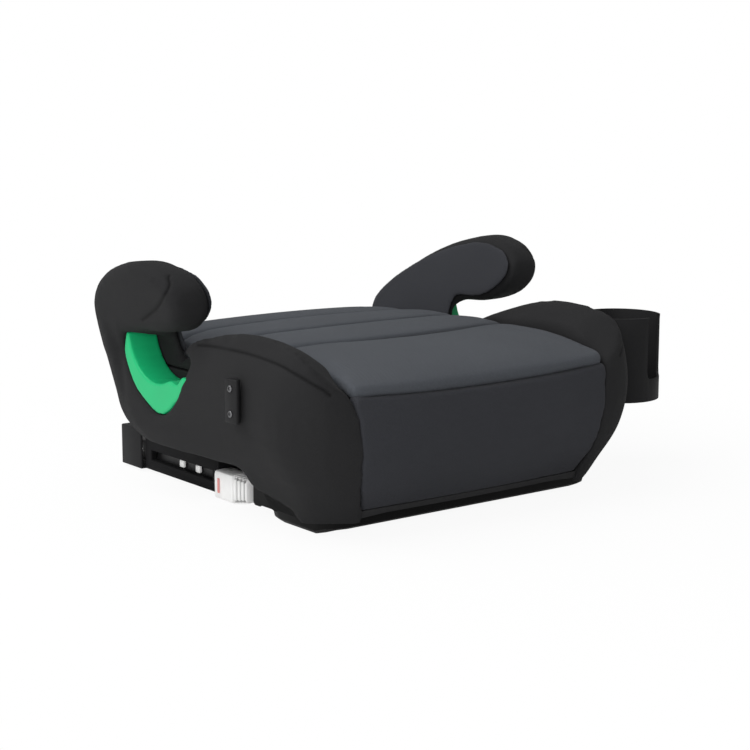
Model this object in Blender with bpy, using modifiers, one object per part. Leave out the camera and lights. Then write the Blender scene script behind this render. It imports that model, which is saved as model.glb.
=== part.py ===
"""Backless booster seat with sliding anchor arms, green belt guides and a lift-off cup holder.

Metres, +Z up. The front of the seat faces -Y and the seated child's left is +X. The origin lies on the
surface that the seat stands on, under the middle of the base tray.
"""

import math

import bmesh
import bpy
from mathutils import Matrix, Vector
from mathutils.geometry import tessellate_polygon

# Clearance between pieces that touch
GAP = 0.0004

# Padded sides and front: their fullest reach from the origin, and the heights that they run between
SIDE_REACH = 0.222
FRONT_REACH = 0.219
REAR_REACH = 0.192
FRONT_PANEL_MARGIN = 0.052
FRONT_PANEL_HALF = SIDE_REACH - FRONT_PANEL_MARGIN
HEM_HEIGHT = 0.024
DECK_HEIGHT = 0.131
LOW_RISE = 0.008
LOW_RIDGE = DECK_HEIGHT + LOW_RISE
HIGH_RISE = 0.059
HIGH_RIDGE = DECK_HEIGHT + HIGH_RISE
RIDGE_PEAK_BACK = 0.119
RIDGE_PEAK_Y = RIDGE_PEAK_BACK - FRONT_REACH
RIDGE_TAIL_Y = 0.090
PANEL_THICKNESS = 0.016
PANEL_SEAM = 0.0008
# How far in a side is drawn before the core and the cushion trim it
TRIM_MARGIN = 0.072
TRIM_REACH = SIDE_REACH - TRIM_MARGIN
TRIM_DEPTH = 0.030
TRIM_SHARE = 0.72
FRONT_CROWN = 0.004
REAR_CORNER = 0.090

# How far each level draws in from the fullest reach, evenly spaced from the hem up to the ridge
SIDE_DRAW = (0.044, 0.020, 0.004, 0.000, 0.005, 0.019)
FRONT_DRAW = (0.027, 0.012, 0.004, 0.000, 0.002, 0.007)
REAR_DRAW = (0.052, 0.040, 0.022, 0.008, 0.002, 0.000)
# Level that a side stays full above, where it carries the arm
ARM_FOOT_LEVEL = 0.7
PANEL_DRAW = (0.024, 0.015, 0.011, 0.009, 0.006, 0.0028)

# Seat cushion
PAD_MARGIN = 0.056
PAD_HALF = SIDE_REACH - PAD_MARGIN
PAD_SETBACK = 0.0065
PAD_FRONT = FRONT_REACH - PAD_SETBACK
PAD_REAR = REAR_REACH - PANEL_THICKNESS
PAD_CORNER = 0.012
PAD_RISE = 0.035
PAD_TOP = DECK_HEIGHT + PAD_RISE
PAD_REAR_RISE = 0.029
PAD_REAR_TOP = DECK_HEIGHT + PAD_REAR_RISE
PAD_LIP = 0.008
PAD_CROWN = 0.005
PAD_EDGE_ROUND = 0.010
PAD_ROLL = 0.110
PAD_REAR_ROLL = 0.030
CHANNEL_DEPTH = 0.006
CHANNEL_HALF = 0.009
CHANNEL_PLACES = ((0.092, 0.000), (0.000, 0.016), (-0.095, 0.034))

# Base tray
TRAY_INSET = 0.006
TRAY_DRAFT = 0.007
TRAY_EDGE = 0.004
TRAY_WALL = 0.003
TRAY_FLOOR = 0.003
TRAY_TAIL = 0.013
TRAY_REAR = REAR_REACH + TRAY_TAIL
TRAY_CORNER = 0.022

# Bay for the anchor arms, under each side
BAY_MARGIN = 0.104
BAY_INNER = SIDE_REACH - BAY_MARGIN
BAY_FRONT = -0.078
BAY_TOP = 0.054

# Anchor arm guide, end housing, arm, pegs and jaw
RAIL_WIDTH = 0.042
RAIL_BOTTOM = 0.004
RAIL_FRONT = 0.020
RAIL_REAR = 0.168
BORE_INSET = 0.008
BORE_BOTTOM = 0.009
ARM_WIDTH = 0.025
ARM_HEIGHT = 0.022
ARM_SLACK = 0.0005
ARM_FRONT = 0.028
SLOT_HEIGHT = 0.011
SLOT_MARGIN = 0.012
PEG_SIZE = 0.008
PEG_PROUD = 0.004
PEG_PLACES = (0.100, 0.068)
HOUSING_GAP = 0.003
HOUSING_LENGTH = 0.042
HOUSING_WALL = 0.003
HOUSING_TOP = 0.047
HOUSING_PROUD = 0.004
MOUTH_HEIGHT = 0.010
MOUTH_DEPTH = 0.025
HOOK_WIDTH = 0.007
HOOK_SLACK = 0.0005
HOOK_REACH = 0.036
HOOK_BAR = 0.006
HOOK_NOSE = 0.007
HOOK_EDGE = 0.0015
PIN_RADIUS = 0.002

# Release handle, its bolt, spring and indicator
HANDLE_REAR = 0.017
HANDLE_LENGTH = 0.052
HANDLE_BODY = 0.034
HANDLE_WIDTH = 0.024
HANDLE_PROUD = 0.004
HANDLE_CORNER = 0.004
HANDLE_BOTTOM = 0.0015
HANDLE_HEIGHT = 0.0295
HANDLE_RIM = 0.002
HANDLE_TAPER = 0.88
FIN_COUNT = 4
FIN_DEPTH = 0.002
BOLT_RADIUS = 0.003
BOLT_HEAD_RADIUS = 0.0055
BOLT_HEAD_LENGTH = 0.004
CHAMBER_RADIUS = 0.0068
CHAMBER_WALL = 0.006
SPRING_WIRE = 0.0006
SPRING_RADIUS = 0.0044
SPRING_TURNS = 7
SPRING_POINTS = 8
INDICATOR_WIDTH = 0.003
INDICATOR_HEIGHT = 0.015
INDICATOR_THICK = 0.0008
INDICATOR_PLACE = 0.3

# Armrest
ARMREST_MARGIN = 0.050
ARMREST_INNER = SIDE_REACH - ARMREST_MARGIN
ARMREST_WIDTH = 0.044
ARMREST_ROUND = 0.010
ARMREST_LEAN = 0.32
# Its outline as y and the rise over the low ridge on the outer side, with how much further back each
# point is on the inner side
ARMREST_OUTLINE = (
    (0.104, 0.000, -0.058),
    (0.100, 0.027, -0.050),
    (0.062, 0.034, -0.014),
    (0.016, 0.036, -0.004),
    (-0.014, 0.046, 0.004),
    (-0.028, 0.064, 0.000),
    (-0.024, 0.083, -0.006),
    (0.000, 0.100, -0.014),
    (0.042, 0.110, -0.012),
    (0.094, 0.097, -0.004),
    (0.130, 0.078, 0.006),
    (0.150, 0.055, 0.020),
    (0.155, 0.027, 0.038),
    (0.154, 0.000, 0.036),
)
ARMREST_TURNS = 3
ARM_PAD_THICKNESS = 0.004
ARM_PAD_MARGIN = 0.0105

# Belt guide: a leaf-shaped outline, as y and the rise over the low ridge, with a round channel through it
GUIDE_MARGIN = 0.037
GUIDE_INNER = SIDE_REACH - GUIDE_MARGIN
GUIDE_SINK = 0.0025
GUIDE_OUTER = SIDE_REACH - GUIDE_SINK
GUIDE_OUTLINE = (
    (0.100, 0.029),
    (0.106, 0.007),
    (0.086, -0.027),
    (0.034, -0.053),
    (-0.002, -0.027),
    (-0.016, 0.015),
)
GUIDE_EDGE = 0.0015
CHANNEL_RADIUS = 0.054
CHANNEL_Y = 0.042
CHANNEL_RISE = 0.037
CHANNEL_Z = LOW_RIDGE + CHANNEL_RISE

# Cup holder and its brackets
BRACKET_BACK = 0.106
BRACKET_Y = BRACKET_BACK - FRONT_REACH
BRACKET_DROP = 0.003
BRACKET_Z = DECK_HEIGHT - BRACKET_DROP
BRACKET_WIDTH = 0.020
BRACKET_HEIGHT = 0.042
STEM_WIDTH = 0.012
STEM_DEPTH = 0.004
HEAD_DEPTH = 0.004
BRACKET_EDGE = 0.0012
SCREW_SPACING = 0.024
SCREW_RADIUS = 0.0035
SCREW_HEAD = 0.0012
CUP_RADIUS = 0.045
CUP_WALL = 0.0026
CUP_HEIGHT = 0.092
CUP_DROP = 0.052
CUP_BOTTOM = BRACKET_Z - CUP_DROP
CUP_SLOT_WIDTH = 0.042
CUP_SLOT_SILL = 0.024
CUP_SLOT_CORNER = 0.008
CUP_SLOT_TURN = math.radians(-63)
CLIP_WALL = 0.0035
CLIP_ROOM = 0.002

# Sampling of curved forms
WALL_STEPS = 10
FRONT_ARC_STEPS = 6
SIDE_STEPS = 9
REAR_ARC_STEPS = 4
PANEL_COLUMNS = 8
ARC_STEPS = 14
FULL_ROUND = 1.0
PAD_COLUMNS = 14
PAD_FRONT_ROWS = 7

SIDES = (("left", 1), ("right", -1))


def new_collection(name):
    """Makes a collection in the scene."""
    made = bpy.data.collections.new(name)
    bpy.context.scene.collection.children.link(made)
    return made


def finish(name, colour, roughness, metallic=0.0):
    """Makes a plain surface with a colour, roughness and metallic value."""
    made = bpy.data.materials.new(name)
    made.use_nodes = True
    shader = made.node_tree.nodes["Principled BSDF"]
    shader.inputs["Base Color"].default_value = (*colour, 1)
    shader.inputs["Roughness"].default_value = roughness
    shader.inputs["Metallic"].default_value = metallic
    return made


def add_object(name, mesh, look, collection):
    """Puts a mesh into the scene as a named piece with its look."""
    made = bpy.data.objects.new(name, mesh)
    collection.objects.link(made)
    if look:
        mesh.materials.append(look)
    return made


def add_piece(name, form, look, collection):
    """Turns a bmesh into a named piece with its faces outwards."""
    bmesh.ops.recalc_face_normals(form, faces=form.faces)
    mesh = bpy.data.meshes.new(name)
    form.to_mesh(mesh)
    form.free()
    mesh.shade_smooth()
    mesh.set_sharp_from_angle(angle=math.radians(35))
    return add_object(name, mesh, look, collection)


def as_cutter(piece):
    """Marks a piece as a cutter, which is not part of the seat."""
    piece.hide_render = True
    piece.display_type = "WIRE"
    return piece


def cut(piece, cutter):
    """Takes a cutter's shape out of a piece."""
    step = piece.modifiers.new("cut", "BOOLEAN")
    step.operation = "DIFFERENCE"
    step.object = cutter


def join(piece, other):
    """Adds another shape to a piece."""
    step = piece.modifiers.new("join", "BOOLEAN")
    step.operation = "UNION"
    step.object = other


def round_edges(piece, width, segments=2):
    """Rounds the sharp edges of a piece."""
    step = piece.modifiers.new("round", "BEVEL")
    step.width = width
    step.segments = segments
    step.limit_method = "ANGLE"
    step.angle_limit = math.radians(40)


def block(name, low, high, look, collection):
    """Makes a box between two corners."""
    form = bmesh.new()
    bmesh.ops.create_cube(form, size=1)
    low, high = Vector(low), Vector(high)
    size = high - low
    bmesh.ops.scale(form, vec=size, verts=form.verts)
    bmesh.ops.translate(form, vec=(low + high) / 2, verts=form.verts)
    return add_piece(name, form, look, collection)


def side_block(name, side, low, high, look, collection):
    """Makes a box on one side, from corners given for the left side."""
    near, far = sorted((side * low[0], side * high[0]))
    return block(name, (near, *low[1:]), (far, *high[1:]), look, collection)


def rod(name, start, end, radius, look, collection, sides=20):
    """Makes a cylinder between two points."""
    form = bmesh.new()
    start, end = Vector(start), Vector(end)
    along = end - start
    bmesh.ops.create_cone(form, cap_ends=True, segments=sides, radius1=radius, radius2=radius,
                          depth=along.length)
    turn = Vector((0, 0, 1)).rotation_difference(along.normalized()).to_matrix().to_4x4()
    bmesh.ops.transform(form, matrix=Matrix.Translation((start + end) / 2) @ turn, verts=form.verts)
    return add_piece(name, form, look, collection)


def skin_rings(form, rings, closed):
    """Joins rows of points into a skin of quads, and gives back the rows of vertices."""
    rows = [[form.verts.new(point) for point in ring] for ring in rings]
    count = len(rows[0])
    for row, following in zip(rows, rows[1:]):
        for i in range(count if closed else count - 1):
            j = (i + 1) % count
            form.faces.new((row[i], row[j], following[j], following[i]))
    return rows


def stack(name, rings, look, collection, curved=False):
    """Lofts closed rings into a solid with flat ends, in triangles where its faces aren't flat."""
    form = bmesh.new()
    rows = skin_rings(form, rings, closed=True)
    if curved:
        bmesh.ops.triangulate(form, faces=form.faces)
    for row, ring in ((rows[0], rings[0]), (rows[-1], rings[-1])):
        if curved:
            for corners in tessellate_polygon([[Vector(point) for point in ring]]):
                form.faces.new([row[i] for i in corners])
        else:
            form.faces.new(row)
    return add_piece(name, form, look, collection)


def padded_wall(name, outers, inners, look, collection):
    """Lofts a wall between an outer and an inner face, closing its ends face to face."""
    form = bmesh.new()
    rings = [list(outer) + list(reversed(inner)) for outer, inner in zip(outers, inners)]
    rows = skin_rings(form, rings, closed=True)
    half = len(outers[0])
    for row in (rows[0], rows[-1]):
        back = list(reversed(row[half:]))
        for i in range(half - 1):
            form.faces.new((row[i], row[i + 1], back[i + 1], back[i]))
    bmesh.ops.triangulate(form, faces=form.faces)
    return add_piece(name, form, look, collection)


def ease(value):
    """Smooth step from 0 to 1."""
    value = min(max(value, 0.0), 1.0)
    return value * value * (3 - 2 * value)


def level_value(levels, fraction):
    """Reads a row of levels at a height fraction, on a smooth curve through them."""
    last = len(levels) - 1
    place = min(max(fraction, 0.0), 1.0) * last
    index = min(int(place), last - 1)
    t = place - index
    before = levels[max(index - 1, 0)]
    start = levels[index]
    end = levels[index + 1]
    after = levels[min(index + 2, last)]
    slope_start = (end - before) / 2
    slope_end = (after - start) / 2
    a = 2 * start - 2 * end + slope_start + slope_end
    b = -3 * start + 3 * end - 2 * slope_start - slope_end
    return ((a * t + b) * t + slope_start) * t + start


def rounded_outline(points, radius, steps=3):
    """Rounds the corners of an outline of (u, v) points with arcs."""
    made = []
    count = len(points)
    for i in range(count):
        corner = Vector(points[i])
        before = Vector(points[i - 1]) - corner
        after = Vector(points[(i + 1) % count]) - corner
        half_turn = before.angle(after) / 2
        reach = min(radius / math.tan(half_turn), before.length * 0.45, after.length * 0.45)
        start = corner + before.normalized() * reach
        end = corner + after.normalized() * reach
        for step in range(steps + 1):
            t = step / steps
            made.append(start * (1 - t) ** 2 + corner * 2 * t * (1 - t) + end * t * t)
    return made


def flat_form(name, outline, low_x, high_x, rounding, offset, look, collection):
    """Extrudes an outline of (y, z) points across X, with its edges rounded."""
    flat = bpy.data.curves.new(name, "CURVE")
    flat.dimensions = "2D"
    flat.fill_mode = "BOTH"
    flat.extrude = abs(high_x - low_x) / 2 - rounding
    flat.bevel_depth = rounding
    flat.bevel_resolution = 1
    flat.offset = offset - rounding
    spline = flat.splines.new("POLY")
    spline.points.add(len(outline) - 1)
    for point, (y, z) in zip(spline.points, outline):
        point.co = (y, z, 0, 1)
    spline.use_cyclic_u = True
    drawn = bpy.data.objects.new(name + "_outline", flat)
    collection.objects.link(drawn)
    bpy.context.view_layer.update()
    form = bmesh.new()
    form.from_mesh(solid_mesh(drawn))
    stand_up = Matrix(((0, 0, 1, (low_x + high_x) / 2), (1, 0, 0, 0), (0, 1, 0, 0), (0, 0, 0, 1)))
    bmesh.ops.transform(form, matrix=stand_up, verts=form.verts)
    bmesh.ops.remove_doubles(form, verts=form.verts, dist=0.00001)
    return add_piece(name, form, look, collection)


def solid_mesh(drawn):
    """Reads a curve as a mesh and removes the curve."""
    evaluated = drawn.evaluated_get(bpy.context.evaluated_depsgraph_get())
    mesh = bpy.data.meshes.new_from_object(evaluated)
    flat = drawn.data
    bpy.data.objects.remove(drawn)
    bpy.data.curves.remove(flat)
    return mesh


def side_stations():
    """Lists the places round one side: the front corner, the flank and the rear corner."""
    front = [("front", i / FRONT_ARC_STEPS) for i in range(FRONT_ARC_STEPS + 1)]
    flank = [("flank", i / SIDE_STEPS) for i in range(1, SIDE_STEPS)]
    rear = [("rear", i / REAR_ARC_STEPS) for i in range(REAR_ARC_STEPS + 1)]
    return front + flank + rear


def side_reach(station, fraction):
    """Gives the side's reach at a station and a height fraction: full right up to the arm at the rear."""
    zone, t = station
    under_arm = {"front": 0.0, "flank": ease(t), "rear": 1.0}[zone]
    level = min(fraction, 1 - (1 - ARM_FOOT_LEVEL) * under_arm)
    return SIDE_REACH - level_value(SIDE_DRAW, level)


def plan_point(station, fraction, inset):
    """Gives the left side's (x, y) at a station and a height fraction, drawn in by an inset."""
    zone, t = station
    reach = side_reach(station, fraction) - inset
    front = FRONT_REACH - level_value(FRONT_DRAW, fraction) - inset
    rear = REAR_REACH - level_value(REAR_DRAW, fraction) - inset
    panel_half = FRONT_PANEL_HALF - level_value(PANEL_DRAW, fraction)
    corner = reach - panel_half
    rear_corner = REAR_CORNER - inset
    turn = t * math.pi / 2
    if zone == "front":
        return panel_half + corner * math.sin(turn), -front + corner * (1 - math.cos(turn))
    if zone == "rear":
        return reach - rear_corner * (1 - math.cos(turn)), rear - rear_corner * (1 - math.sin(turn))
    start = -front + corner
    end = rear - rear_corner
    return reach, start + (end - start) * t


def ridge_height(station):
    """Gives the height of a side's ridge: a hump beside the thigh, low at the front and under the arm."""
    y = plan_point(station, 0.6, 0)[1]
    if y < RIDGE_PEAK_Y:
        away = min((RIDGE_PEAK_Y - y) / (RIDGE_PEAK_Y + FRONT_REACH), 1)
        hump = (1 - away ** 2) ** 0.6
    else:
        away = min((y - RIDGE_PEAK_Y) / (RIDGE_TAIL_Y - RIDGE_PEAK_Y), 1)
        hump = (1 + math.cos(math.pi * away)) / 2
    return LOW_RIDGE + (HIGH_RIDGE - LOW_RIDGE) * hump


def level_fractions():
    """Gives the height fractions of a side's outer face, level with its inner face where the ridge is low."""
    shelf = (DECK_HEIGHT + GAP - HEM_HEIGHT) / (LOW_RIDGE - HEM_HEIGHT)
    return [shelf * i / (WALL_STEPS - 1) for i in range(WALL_STEPS)] + [1.0]


def wall_point(station, height, inset):
    """Gives the left side's point at a height."""
    fraction = (height - HEM_HEIGHT) / (ridge_height(station) - HEM_HEIGHT)
    return Vector((*plan_point(station, fraction, inset), height))


def wall_heights(top):
    """Gives even heights from the hem up to a top."""
    return [HEM_HEIGHT + (top - HEM_HEIGHT) * i / (WALL_STEPS - 1) for i in range(WALL_STEPS)]


def pad_height(y):
    """Gives the height of the cushion's edge along Y: flat, with a rolled front and a softer rear."""
    lip = DECK_HEIGHT + PAD_LIP
    roll_start = PAD_ROLL - PAD_FRONT
    if y < roll_start:
        away = min((roll_start - y) / PAD_ROLL, 1)
        return lip + (PAD_TOP - lip) * (1 - away ** 2.4) ** (1 / 2.4)
    fall = PAD_TOP + (PAD_REAR_TOP - PAD_TOP) * ease(y / PAD_REAR)
    roll = max((y - PAD_REAR + PAD_REAR_ROLL) / PAD_REAR_ROLL, 0)
    return lip + (fall - lip) * (1 - min(roll, 1) ** 2.4) ** (1 / 2.4)


def pad_half_width(y):
    """Gives half the cushion's width along Y, with its front corners rounded."""
    into_corner = PAD_CORNER - PAD_FRONT - y
    if into_corner <= 0:
        return PAD_HALF
    return PAD_HALF - PAD_CORNER + math.sqrt(max(PAD_CORNER ** 2 - into_corner ** 2, 0))


def inner_point(station, fraction, height):
    """Gives a point well inside a side, straight behind its ends, where the core and cushion trim it."""
    zone, t = station
    back = Vector((0, TRIM_DEPTH))
    corners = [Vector(plan_point(ends, fraction, 0)) for ends in (("front", 0), ("front", 1), ("rear", 0), ("rear", 1))]
    path = [corners[0] + back, Vector((TRIM_REACH, corners[1].y)) + back,
            Vector((TRIM_REACH, corners[2].y)) - back, corners[3] - back]
    start = ("front", "flank", "rear").index(zone)
    return Vector((*path[start].lerp(path[start + 1], t), height))


def make_side_bolster(name, side, look, collection, trims):
    """Makes a padded side that wraps the front corner, the flank and the rear corner."""
    mirror = Matrix.Scale(side, 3, (1, 0, 0))
    outers, inners = [], []
    for station in side_stations():
        ridge = ridge_height(station)
        rise = ridge - HEM_HEIGHT
        outer = [Vector((*plan_point(station, f, 0), HEM_HEIGHT + f * rise)) for f in level_fractions()]
        inner = [inner_point(station, f, HEM_HEIGHT + f * (LOW_RIDGE - HEM_HEIGHT)) for f in level_fractions()]
        top = outer[-1]
        seam = top.lerp(inner[-1], TRIM_SHARE)
        seam.z = min(pad_height(seam.y), ridge - PAD_LIP / 4)
        middle = top.lerp(seam, 0.5)
        middle.z += (ridge - seam.z) * 0.25
        inner[-1].z = seam.z - (ridge - seam.z) * TRIM_SHARE
        outers.append([mirror @ point for point in outer + [middle]])
        inners.append([mirror @ point for point in inner + [seam]])
    bolster = padded_wall(name, outers, inners, look, collection)
    for trim in trims:
        cut(bolster, as_cutter(trim))
    return bolster


def make_trims(cutters):
    """Makes the shapes that the core and the cushion take out of the padded sides."""
    low = HEM_HEIGHT - PANEL_THICKNESS
    rings = [core_ring(z, PANEL_THICKNESS - GAP) for z in wall_heights(DECK_HEIGHT + GAP)]
    core = stack("core_room", [[(x, y, low) for x, y, _ in rings[0]]] + rings, None, cutters, curved=True)
    half = PAD_HALF + GAP
    turns = [math.pi / 2 * i / FRONT_ARC_STEPS for i in range(FRONT_ARC_STEPS + 1)]
    corner = [(half - PAD_CORNER * (1 - math.cos(turn)), -PAD_FRONT - GAP + PAD_CORNER * (1 - math.sin(turn)))
              for turn in turns]
    left = [(half, PAD_REAR + GAP)] + corner
    outline = left + [(-x, y) for x, y in reversed(left)]
    heights = (DECK_HEIGHT + GAP * 1.25, 2 * HIGH_RIDGE)
    cushion = stack("cushion_room", [[(x, y, z) for x, y in outline] for z in heights], None, cutters)
    return core, cushion


def make_front_panel(look, collection):
    """Makes the padded front between the two sides."""
    outers, inners = [], []
    for column in range(PANEL_COLUMNS + 1):
        across = 2 * column / PANEL_COLUMNS - 1
        outer, inner = [], []
        for z in wall_heights(DECK_HEIGHT):
            fraction = (z - HEM_HEIGHT) / (LOW_RIDGE - HEM_HEIGHT)
            half = FRONT_PANEL_HALF - level_value(PANEL_DRAW, fraction) - PANEL_SEAM
            face = FRONT_REACH - level_value(FRONT_DRAW, fraction)
            outer.append((across * half, -face - FRONT_CROWN * (1 - across ** 2), z))
            inner.append((across * half, PANEL_THICKNESS - GAP - face, z))
        outers.append(outer)
        inners.append(inner)
    return padded_wall("front_panel", outers, inners, look, collection)


def make_rear_panel(look, collection):
    """Makes the fabric back between the two sides."""
    outers, inners = [], []
    for column in range(PANEL_COLUMNS + 1):
        across = 2 * column / PANEL_COLUMNS - 1
        outer, inner = [], []
        for z in wall_heights(DECK_HEIGHT) + [LOW_RIDGE]:
            fraction = (z - HEM_HEIGHT) / (LOW_RIDGE - HEM_HEIGHT)
            half = side_reach(("rear", 1), fraction) - REAR_CORNER - PANEL_SEAM
            face = REAR_REACH - level_value(REAR_DRAW, fraction)
            outer.append((across * half, face, z))
            inner.append((across * half, face - PANEL_THICKNESS + 2 * GAP, z))
        outers.append(outer)
        inners.append(inner)
    return padded_wall("rear_panel", outers, inners, look, collection)


def core_ring(height, inset):
    """Gives the seat's outline at a height, drawn in by an inset."""
    left = [wall_point(station, height, inset) for station in side_stations()]
    return left + [Vector((-p.x, p.y, p.z)) for p in reversed(left)]


def make_base_shell(look, collection):
    """Makes the moulded core that carries the cushion, the sides, the panels and the guides."""
    rings = [core_ring(z, PANEL_THICKNESS) for z in wall_heights(DECK_HEIGHT)]
    return stack("base_shell", rings, look, collection, curved=True)


def pad_rows():
    """Lists the cushion's rows from rear to front, as middle y, bow and how deep a channel is there."""
    rows = [(PAD_REAR - PAD_REAR_ROLL * part, 0.0, 0.0) for part in (0, 0.08, 0.3, 0.65, 1.2)]
    for place, bow in CHANNEL_PLACES:
        before, before_bow, _ = rows[-1]
        middle = ((before + place + CHANNEL_HALF) / 2, (before_bow + bow) / 2, -0.3)
        rows.append(middle)
        rows += [(place + CHANNEL_HALF, bow, 0.0), (place, bow, 1.0), (place - CHANNEL_HALF, bow, 0.0)]
    start, bow, _ = rows[-1]
    for step in range(1, PAD_FRONT_ROWS + 1):
        t = step / PAD_FRONT_ROWS
        along = math.sin(t * math.pi / 2)
        rows.append((start + (-PAD_FRONT - start) * along, bow * (1 - along), 0.0))
    return rows


def make_seat_pad(look, collection):
    """Makes the crowned cushion with its sewn channels and rolled front."""
    half_columns = PAD_COLUMNS // 2
    across = [math.sin(i / half_columns * math.pi / 2) for i in range(-half_columns, half_columns + 1)]
    bottom = DECK_HEIGHT + 2 * GAP
    outers, inners = [], []
    for middle, bow, channel in pad_rows():
        top_row, bottom_row = [], []
        for part in across:
            y = middle + bow * part ** 2
            x = part * pad_half_width(y)
            edge = pad_height(y)
            room = min((edge - DECK_HEIGHT) / (PAD_TOP - DECK_HEIGHT), 1)
            swell = PAD_CROWN * (1 - part ** 2) - PAD_EDGE_ROUND * abs(part) ** 12
            top_row.append((x, y, edge + room * (swell - channel * CHANNEL_DEPTH)))
            bottom_row.append((x, y, bottom))
        outers.append(top_row)
        inners.append(bottom_row)
    return padded_wall("seat_pad", outers, inners, look, collection)


def tray_outline(inset):
    """Gives the tray's outline: wide at the front, narrow between the two anchor arms."""
    half = SIDE_REACH - SIDE_DRAW[0] - TRAY_INSET - inset
    front = FRONT_DRAW[0] - FRONT_REACH + TRAY_INSET + inset
    waist = BAY_FRONT - inset
    narrow = BAY_INNER - inset
    rear = TRAY_REAR - inset
    right = [(-narrow, rear), (-narrow, waist), (-half, waist), (-half, front)]
    left = [(-x, y) for x, y in reversed(right)]
    return rounded_outline(right + left, TRAY_CORNER)


def make_base_tray(look, collection):
    """Makes the tray as a pan with sloped walls, a rounded foot edge and an open top."""
    top = HEM_HEIGHT - GAP
    levels = (
        (0, TRAY_DRAFT),
        (TRAY_EDGE, TRAY_DRAFT - TRAY_EDGE),
        (top, 0),
        (top, TRAY_WALL),
        (TRAY_FLOOR, TRAY_WALL + TRAY_DRAFT),
    )
    rings = [[(p.x, p.y, z) for p in tray_outline(inset)] for z, inset in levels]
    return stack("base_tray", rings, look, collection)


def smooth_outline(points, sharp=()):
    """Rounds an outline as far as its edges allow, but keeps the corners listed as sharp."""
    made = rounded_outline(points, FULL_ROUND)
    steps = len(made) // len(points)
    kept = []
    for i, corner in enumerate(points):
        kept += [Vector(corner)] if i in sharp else made[i * steps:(i + 1) * steps]
    return kept


def inset_outline(points, inset):
    """Draws a closed outline of (y, z) points in by an inset, but not the foot between its last and first."""
    count = len(points)
    way = math.copysign(1, sum(points[i - 1].cross(points[i]) for i in range(count)))
    normals = []
    for i in range(count):
        along = (points[(i + 1) % count] - points[i]).normalized()
        normals.append(Vector((-along.y, along.x)) * way)
    made = []
    for i in range(1, count - 1):
        both = normals[i - 1] + normals[i]
        made.append(points[i] + both * inset / (1 + normals[i - 1].dot(normals[i])))
    first = points[0] + Vector((inset / normals[0].x, 0))
    last = points[-1] + Vector((inset / normals[-2].x, 0))
    return [first] + made + [last]


def arm_outline(share, inset):
    """Gives the arm's outline at a share of the way from its inner to its outer side."""
    points = [Vector((y + back * (1 - share), LOW_RIDGE + rise + GAP)) for y, rise, back in ARMREST_OUTLINE]
    return smooth_outline(inset_outline(points, inset), sharp=(0, len(points) - 1))


def lean_out(piece, side):
    """Leans a piece outwards with height."""
    for vertex in piece.data.vertices:
        vertex.co.x += side * ARMREST_LEAN * (vertex.co.z - LOW_RIDGE)


def set_origin(piece, point):
    """Moves a piece's origin onto its joint, with the piece left where it is."""
    piece.data.transform(Matrix.Translation(-Vector(point)))
    piece.location = point


def make_armrest(label, side, looks, parts, cutters, bolster):
    """Makes a hook-shaped padded arm with a slanted end, the panel on its inner face and its seat."""
    turns = [math.pi / 2 * i / ARMREST_TURNS for i in range(ARMREST_TURNS + 1)]
    edge = [(ARMREST_ROUND * (1 - math.cos(turn)), ARMREST_ROUND * (1 - math.sin(turn))) for turn in turns]
    sections = edge + [(ARMREST_WIDTH / 2, 0)] + [(ARMREST_WIDTH - away, inset) for away, inset in reversed(edge)]
    rings = []
    for away, inset in sections:
        x = side * (ARMREST_INNER + away)
        rings.append([(x, p.x, p.y) for p in arm_outline(away / ARMREST_WIDTH, inset)])
    arm = stack("armrest_" + label, rings, looks["black_fabric"], parts, curved=True)
    lean_out(arm, side)
    back = side * (ARMREST_INNER - GAP)
    face = side * (ARMREST_INNER - GAP - ARM_PAD_THICKNESS)
    hem = LOW_RIDGE + ARM_PAD_MARGIN
    outline = [p for p in arm_outline(0, ARM_PAD_MARGIN) if p.y > hem + ARM_PAD_THICKNESS]
    outline = [Vector((outline[0].x, hem))] + outline + [Vector((outline[-1].x, hem))]
    pad = flat_form("armrest_pad_" + label, outline, back, face, ARM_PAD_THICKNESS / 3, 0,
                    looks["grey_fabric"], parts)
    lean_out(pad, side)
    foot_front = arm_outline(0, 0)[0].x
    seat = side_block("arm_seat_" + label, side, (ARMREST_INNER - GAP, foot_front - GAP, LOW_RIDGE + GAP / 2),
                      (2 * SIDE_REACH, 2 * REAR_REACH, 2 * HIGH_RIDGE), None, cutters)
    cut(bolster, as_cutter(seat))
    return arm


def make_belt_guide(label, side, looks, parts, cutters, around):
    """Makes the belt guide and takes its seat out of the pieces around it."""
    inner = side * GUIDE_INNER
    outer = side * GUIDE_OUTER
    beyond = side * (GUIDE_OUTER + ARMREST_WIDTH)
    corners = [(y, LOW_RIDGE + rise) for y, rise in GUIDE_OUTLINE]
    leaf = smooth_outline(corners, sharp=(0, len(corners) - 1))
    guide = flat_form("belt_guide_" + label, leaf, inner, outer, GUIDE_EDGE, 0, looks["green"], parts)
    arc = [math.pi * (1 + i / ARC_STEPS) for i in range(ARC_STEPS + 1)]
    trough = [(CHANNEL_Y + CHANNEL_RADIUS * math.cos(a), CHANNEL_Z + CHANNEL_RADIUS * math.sin(a)) for a in arc]
    channel = flat_form("belt_channel_" + label, trough, inner - side * GAP, beyond, 0, 0, None, cutters)
    seat = flat_form("guide_seat_" + label, leaf, inner - side * GAP, beyond, 0, GAP, None, cutters)
    cut(guide, as_cutter(channel))
    for piece in around:
        cut(piece, as_cutter(seat))
    return channel


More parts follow.
